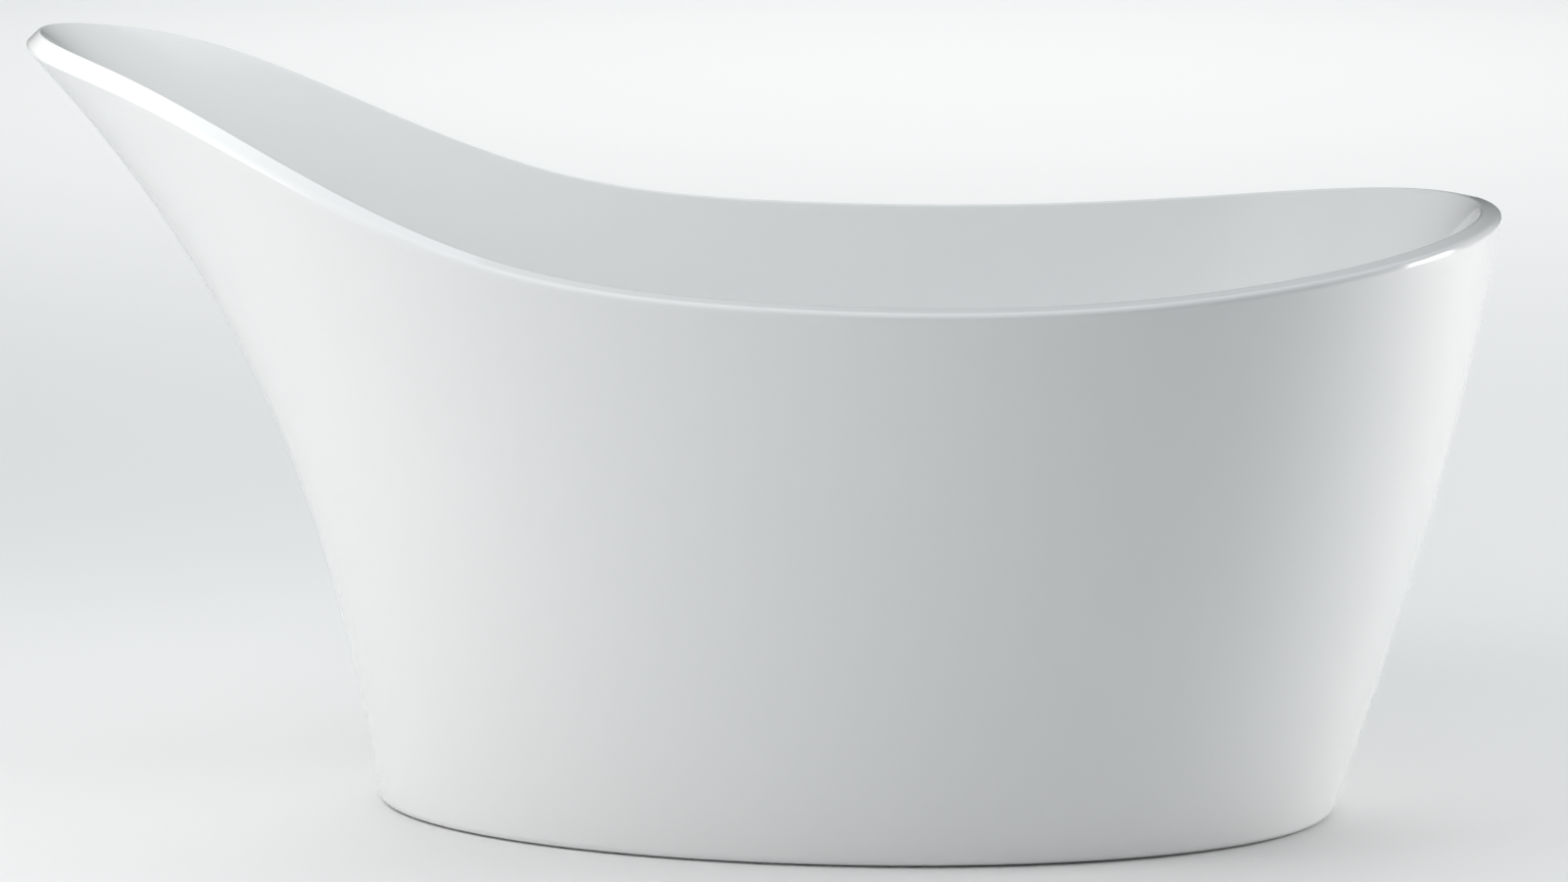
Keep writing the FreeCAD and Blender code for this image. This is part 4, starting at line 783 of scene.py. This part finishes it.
brass = detailed("brass", (0.76, 0.58, 0.28), (0.66, 0.48, 0.21), (0.2, 0.35), 1.0, 180, 0.0001)
finished(brass, "plug_stem", "plug_cartridge")
finished(zinc_steel, "plug_spring")
CAP_RADIUS = 0.032
CAP_HEIGHT = 0.006


def cap_profile(angle):
    top = [(CAP_RADIUS * math.sin(turn) * 0.96, CAP_HEIGHT - 0.0014 * (1 - math.cos(turn)))
           for turn in (math.pi / 2 * i / 12 for i in range(12, -1, -1))]
    return [(0, 0.0004), (0.020, 0.0004), (0.0285, 0.0002), (0.030, 0), (0.0312, 0.0007),
            (CAP_RADIUS, 0.002), (CAP_RADIUS, 0.0034), (0.0316, 0.0042)] + top


cap = spun("plug_cap_domed", cap_profile, 96, polished_chrome,
           Matrix.Translation((waste_x, 0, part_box("plug_cap")[0][2])))
settle(cap, "polished_chrome", "plug", "plug_cap")

# ---------------------------------------------------------------- trap nuts and cup
# White moulded nuts with finger ribs between their flats: one draws the trap up to the waste,
# the other grips the outlet pipe. The ribbed cup below screws off for cleaning.


def ribbed_nut(reach, bore, mouth, lip, height):
    """Eight shallow lobes with ribs; the lip at the low end holds the collar behind it."""
    def profile(angle):
        lobe = 0.0012 * (0.5 + 0.5 * math.cos(8 * angle))
        rib = 0.0007 * (0.5 + 0.5 * math.cos(48 * angle))
        out = reach - lobe - rib
        return [(mouth, 0.0005), (mouth + 0.0005, 0), (out - 0.0012, 0), (out, 0.0012),
                (out, height * 0.72), (out - 0.0008, height * 0.76),
                (reach - 0.0026, height * 0.78), (reach - 0.0026, height - 0.0006),
                (reach - 0.0032, height), (bore, height), (bore, lip), (mouth, lip),
                (mouth, 0.0005)]
    return profile


UNION_REACH = 0.0294
low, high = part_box("trap_union_nut")
union = spun("trap_union_ribbed", ribbed_nut(UNION_REACH, 0.0239, 0.0213, 0.003,
                                            high[2] - low[2]), 192, trap_plastic,
             Matrix.Translation((waste_x, 0, low[2])))
settle(union, "trap_plastic", "bath", "trap_union_nut")

OUTLET_REACH = 0.0286
low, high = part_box("outlet_nut")
outlet_level = (low[2] + high[2]) / 2
outlet = spun("outlet_nut_ribbed", ribbed_nut(OUTLET_REACH, 0.0256, 0.0216, 0.004,
                                              high[1] - low[1]), 192, trap_plastic,
              Matrix.Translation((waste_x, high[1], outlet_level))
              @ Matrix.Rotation(math.radians(90), 4, "X"))
settle(outlet, "trap_plastic", "bath", "outlet_nut")

low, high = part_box("trap_cup")
CUP_REACH = 0.03905
CUP_BORE = 0.03605
CUP_WALL = 0.003
CUP_SHOULDER = 0.016


def cup_profile(angle):
    rib = 0.0008 * (0.5 + 0.5 * math.cos(40 * angle))
    height = high[2] - low[2]
    return [(0, 0.0012), (0.012, 0.0012), (0.014, 0), (CUP_REACH - 0.0045, 0),
            (CUP_REACH - 0.0015 - rib, 0.0018), (CUP_REACH - rib, 0.0045),
            (CUP_REACH - rib, height - 0.006), (CUP_REACH, height - 0.005),
            (CUP_REACH, height - 0.0005), (CUP_REACH - 0.0005, height), (CUP_BORE, height),
            (CUP_BORE, CUP_SHOULDER), (CUP_BORE - CUP_WALL, CUP_SHOULDER),
            (CUP_BORE - CUP_WALL, CUP_WALL), (0, CUP_WALL)]


cup = spun("trap_cup_ribbed", cup_profile, 160, trap_plastic,
           Matrix.Translation((waste_x, 0, low[2])))
settle(cup, "trap_plastic", "bath", "trap_cup")

# ---------------------------------------------------------------- overflow cover
# Round cover of chrome plated brass that stands off the wall on a post, open round its edge
# for the water, and held by one countersunk slotted screw.

COVER_RADIUS = 0.033
COVER_DEPTH = 0.0135
COVER_SHELL = 0.0025
COVER_SLOT = 0.005
POST_RADIUS = 0.005
SCREW_RADIUS = 0.0025
SCREW_HEAD_RADIUS = 0.0045
SCREW_SINK = 0.002


def cover_profile(angle):
    return softened([
        (SCREW_RADIUS, 0), (POST_RADIUS, 0), (POST_RADIUS, COVER_DEPTH - COVER_SHELL),
        (COVER_RADIUS - COVER_SHELL, COVER_DEPTH - COVER_SHELL),
        (COVER_RADIUS - COVER_SHELL, COVER_SLOT), (COVER_RADIUS, COVER_SLOT),
        (COVER_RADIUS, COVER_DEPTH - 0.0018), (COVER_RADIUS - 0.0018, COVER_DEPTH),
        (SCREW_HEAD_RADIUS + 0.0002, COVER_DEPTH),
        (SCREW_HEAD_RADIUS + 0.0002, COVER_DEPTH - SCREW_SINK),
        (SCREW_RADIUS, COVER_DEPTH - SCREW_SINK), (SCREW_RADIUS, 0)], 0.0006)


cover = spun("overflow_cover_rounded", cover_profile, 96, polished_chrome, overflow_place)
settle(cover, "polished_chrome", "bath", "overflow_cover")

SCREW_BRIDGE = 0.004


def cover_screw_profile(angle):
    slot = 0.0010 if abs(math.sin(angle)) < 0.16 else 0
    return [(0, -SCREW_BRIDGE), (SCREW_RADIUS - 0.0002, -SCREW_BRIDGE),
            (SCREW_RADIUS - 0.0002, COVER_DEPTH - SCREW_SINK),
            (SCREW_HEAD_RADIUS, COVER_DEPTH - SCREW_SINK),
            (SCREW_HEAD_RADIUS, COVER_DEPTH - 0.0006),
            (SCREW_HEAD_RADIUS - 0.0006, COVER_DEPTH - 0.0003 - slot),
            (0.0008, COVER_DEPTH - 0.0002 - 0.0010), (0, COVER_DEPTH - 0.0012)]


cover_screw = spun("overflow_screw_slotted", cover_screw_profile, 72, polished_chrome,
                   overflow_place)
settle(cover_screw, "polished_chrome", "bath", "overflow_screw")

# ---------------------------------------------------------------- overflow hose
# Grey corrugated plastic hose with plain cuffs, pushed over the overflow's spigot and over the
# inlet of the waste body. It runs down between the two skins at the foot end.

hose_plastic = detailed("hose_plastic", (0.55, 0.56, 0.57), (0.47, 0.48, 0.49), (0.35, 0.5), 0,
                        160, 0.0002)
HOSE_RADIUS = 0.013
HOSE_WALL = 0.003
HOSE_GRIP = 0.022
HOSE_WAVE = (0.006, 0.0016)
WAVE_ROWS = 8
SPIGOT_END = 0.055
SPIGOT_LEVEL = -0.030
SPIGOT_REACH = 0.062
FLOOR_CORNER = 0.100
HOSE_DROP = 0.120
CLIP_REACH = 0.0145
CUFF_RUN = 0.030
HOSE_SIDES = 36
overflow_down = -overflow_up


def on_spigot(distance):
    """A point on the axis of the overflow's spigot, at a distance down from its centre."""
    return overflow_place @ Vector((-distance, 0, SPIGOT_LEVEL))


hose_top = on_spigot(SPIGOT_END - HOSE_GRIP)
inlet_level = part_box("hose_clips")[0][2] + CLIP_REACH
hose_foot = Vector((waste_x + SPIGOT_REACH - HOSE_GRIP, 0, inlet_level))
route = [hose_top, hose_top + overflow_down * CUFF_RUN, hose_top + overflow_down * HOSE_DROP,
         Vector((FLOOR_ENDS[1] + FLOOR_CORNER, 0, inlet_level)),
         hose_foot + Vector((CUFF_RUN, 0, 0)), hose_foot]
curve = bpy.data.curves.new("hose_route", "CURVE")
curve.dimensions = "3D"
curve.resolution_u = 24
spline = curve.splines.new("NURBS")
spline.points.add(len(route) - 1)
for point, spot in zip(spline.points, route):
    point.co = (*spot, 1)
spline.order_u = 3
spline.use_endpoint_u = True
route_line = bpy.data.objects.new("hose_route", curve)
bpy.context.collection.objects.link(route_line)
line = [v.co.copy() for v in bpy.data.meshes.new_from_object(route_line).vertices]
bpy.data.objects.remove(route_line)
lengths = [0.0]
for before, after in zip(line, line[1:]):
    lengths.append(lengths[-1] + (after - before).length)


def along_route(distance):
    """Point and direction at a distance along the hose's line."""
    i = max(k for k in range(len(line) - 1) if lengths[k] <= distance or k == 0)
    share = (distance - lengths[i]) / (lengths[i + 1] - lengths[i])
    return line[i].lerp(line[i + 1], share), (line[i + 1] - line[i]).normalized()


def hose_radius(distance):
    into = min(distance, lengths[-1] - distance) - HOSE_GRIP
    swell = min(1, max(0, into / HOSE_WAVE[0]))
    wave = 0.5 - 0.5 * math.cos(2 * math.pi * distance / HOSE_WAVE[0])
    return HOSE_RADIUS - HOSE_WAVE[1] * wave * swell


hose_rows = round(lengths[-1] / HOSE_WAVE[0] * WAVE_ROWS)
stations = [lengths[-1] * i / hose_rows for i in range(hose_rows + 1)]
rings = [(along_route(d), hose_radius(d)) for d in stations]
rings += [(along_route(d), HOSE_RADIUS - HOSE_WALL) for d in reversed(stations[::WAVE_ROWS])]
rings.append(rings[0])
sideways = Vector((0, 1, 0))
columns = []
for i in range(HOSE_SIDES):
    angle = 2 * math.pi * i / HOSE_SIDES
    columns.append([spot + (sideways * math.cos(angle) + way.cross(sideways) * math.sin(angle))
                    * radius for (spot, way), radius in rings])
hose = round_surface("overflow_hose_ribbed", columns, hose_plastic)
settle(hose, "hose_plastic", "bath", "overflow_hose")

# ---------------------------------------------------------------- hose clips
# Worm drive clips of zinc plated steel: a slotted band round each cuff of the hose, the
# housing pressed over it and its slotted screw.

CLIP_WIDTH = 0.009
CLIP_BAND = 0.0012


def clip_parts(place):
    """Band, housing and screw of one clip, its band round the place's own Z."""
    def band(angle):
        notch = 0.0003 if 0.6 < angle < 4.2 and math.sin(48 * angle) > 0.2 else 0
        outer = HOSE_RADIUS + CLIP_BAND - notch
        edge = HOSE_RADIUS + CLIP_BAND
        half = CLIP_WIDTH / 2
        return [(HOSE_RADIUS, -half), (edge, -half), (edge, -half * 0.6), (outer, -half * 0.5),
                (outer, half * 0.5), (edge, half * 0.6), (edge, half), (HOSE_RADIUS, half),
                (HOSE_RADIUS, -half)]

    housing = bmesh.new()
    bmesh.ops.create_cube(housing, size=1)
    bmesh.ops.scale(housing, verts=housing.verts, vec=(0.005, 0.012, CLIP_WIDTH))
    bmesh.ops.bevel(housing, geom=list(housing.edges), offset=0.001, segments=2,
                    affect="EDGES", profile=0.5, material=-1)
    bmesh.ops.translate(housing, verts=housing.verts,
                        vec=(HOSE_RADIUS + CLIP_BAND + 0.0022, 0, 0))
    bmesh.ops.transform(housing, matrix=place, verts=housing.verts)

    def screw(angle):
        slot = 0.0008 if abs(math.sin(angle)) < 0.2 else 0
        return [(0, -0.007), (0.0018, -0.007), (0.0018, 0.006), (0.0030, 0.006),
                (0.0030, 0.0088), (0.0026, 0.0095 - slot), (0.0004, 0.0087), (0, 0.0087)]

    beside = Matrix.Translation((HOSE_RADIUS + CLIP_BAND + 0.0026, 0, 0))
    return [spun("clip_band", band, 192, zinc_steel, place),
            as_object("clip_housing", housing, zinc_steel),
            spun("clip_screw", screw, 40, zinc_steel,
                 place @ beside @ Matrix.Rotation(math.radians(-90), 4, "X"))]


upper_clip = Matrix.Translation(hose_top + overflow_down * (HOSE_GRIP / 2)) @ (
    overflow_down.to_track_quat("Z", "Y").to_matrix().to_4x4())
lower_clip = Matrix.Translation(hose_foot + Vector((HOSE_GRIP / 2, 0, 0))) @ (
    Matrix.Rotation(math.radians(90), 4, "Y"))
clips = joined("hose_clip_set", clip_parts(upper_clip) + clip_parts(lower_clip))
settle(clips, "zinc_steel", "bath", "hose_clips")
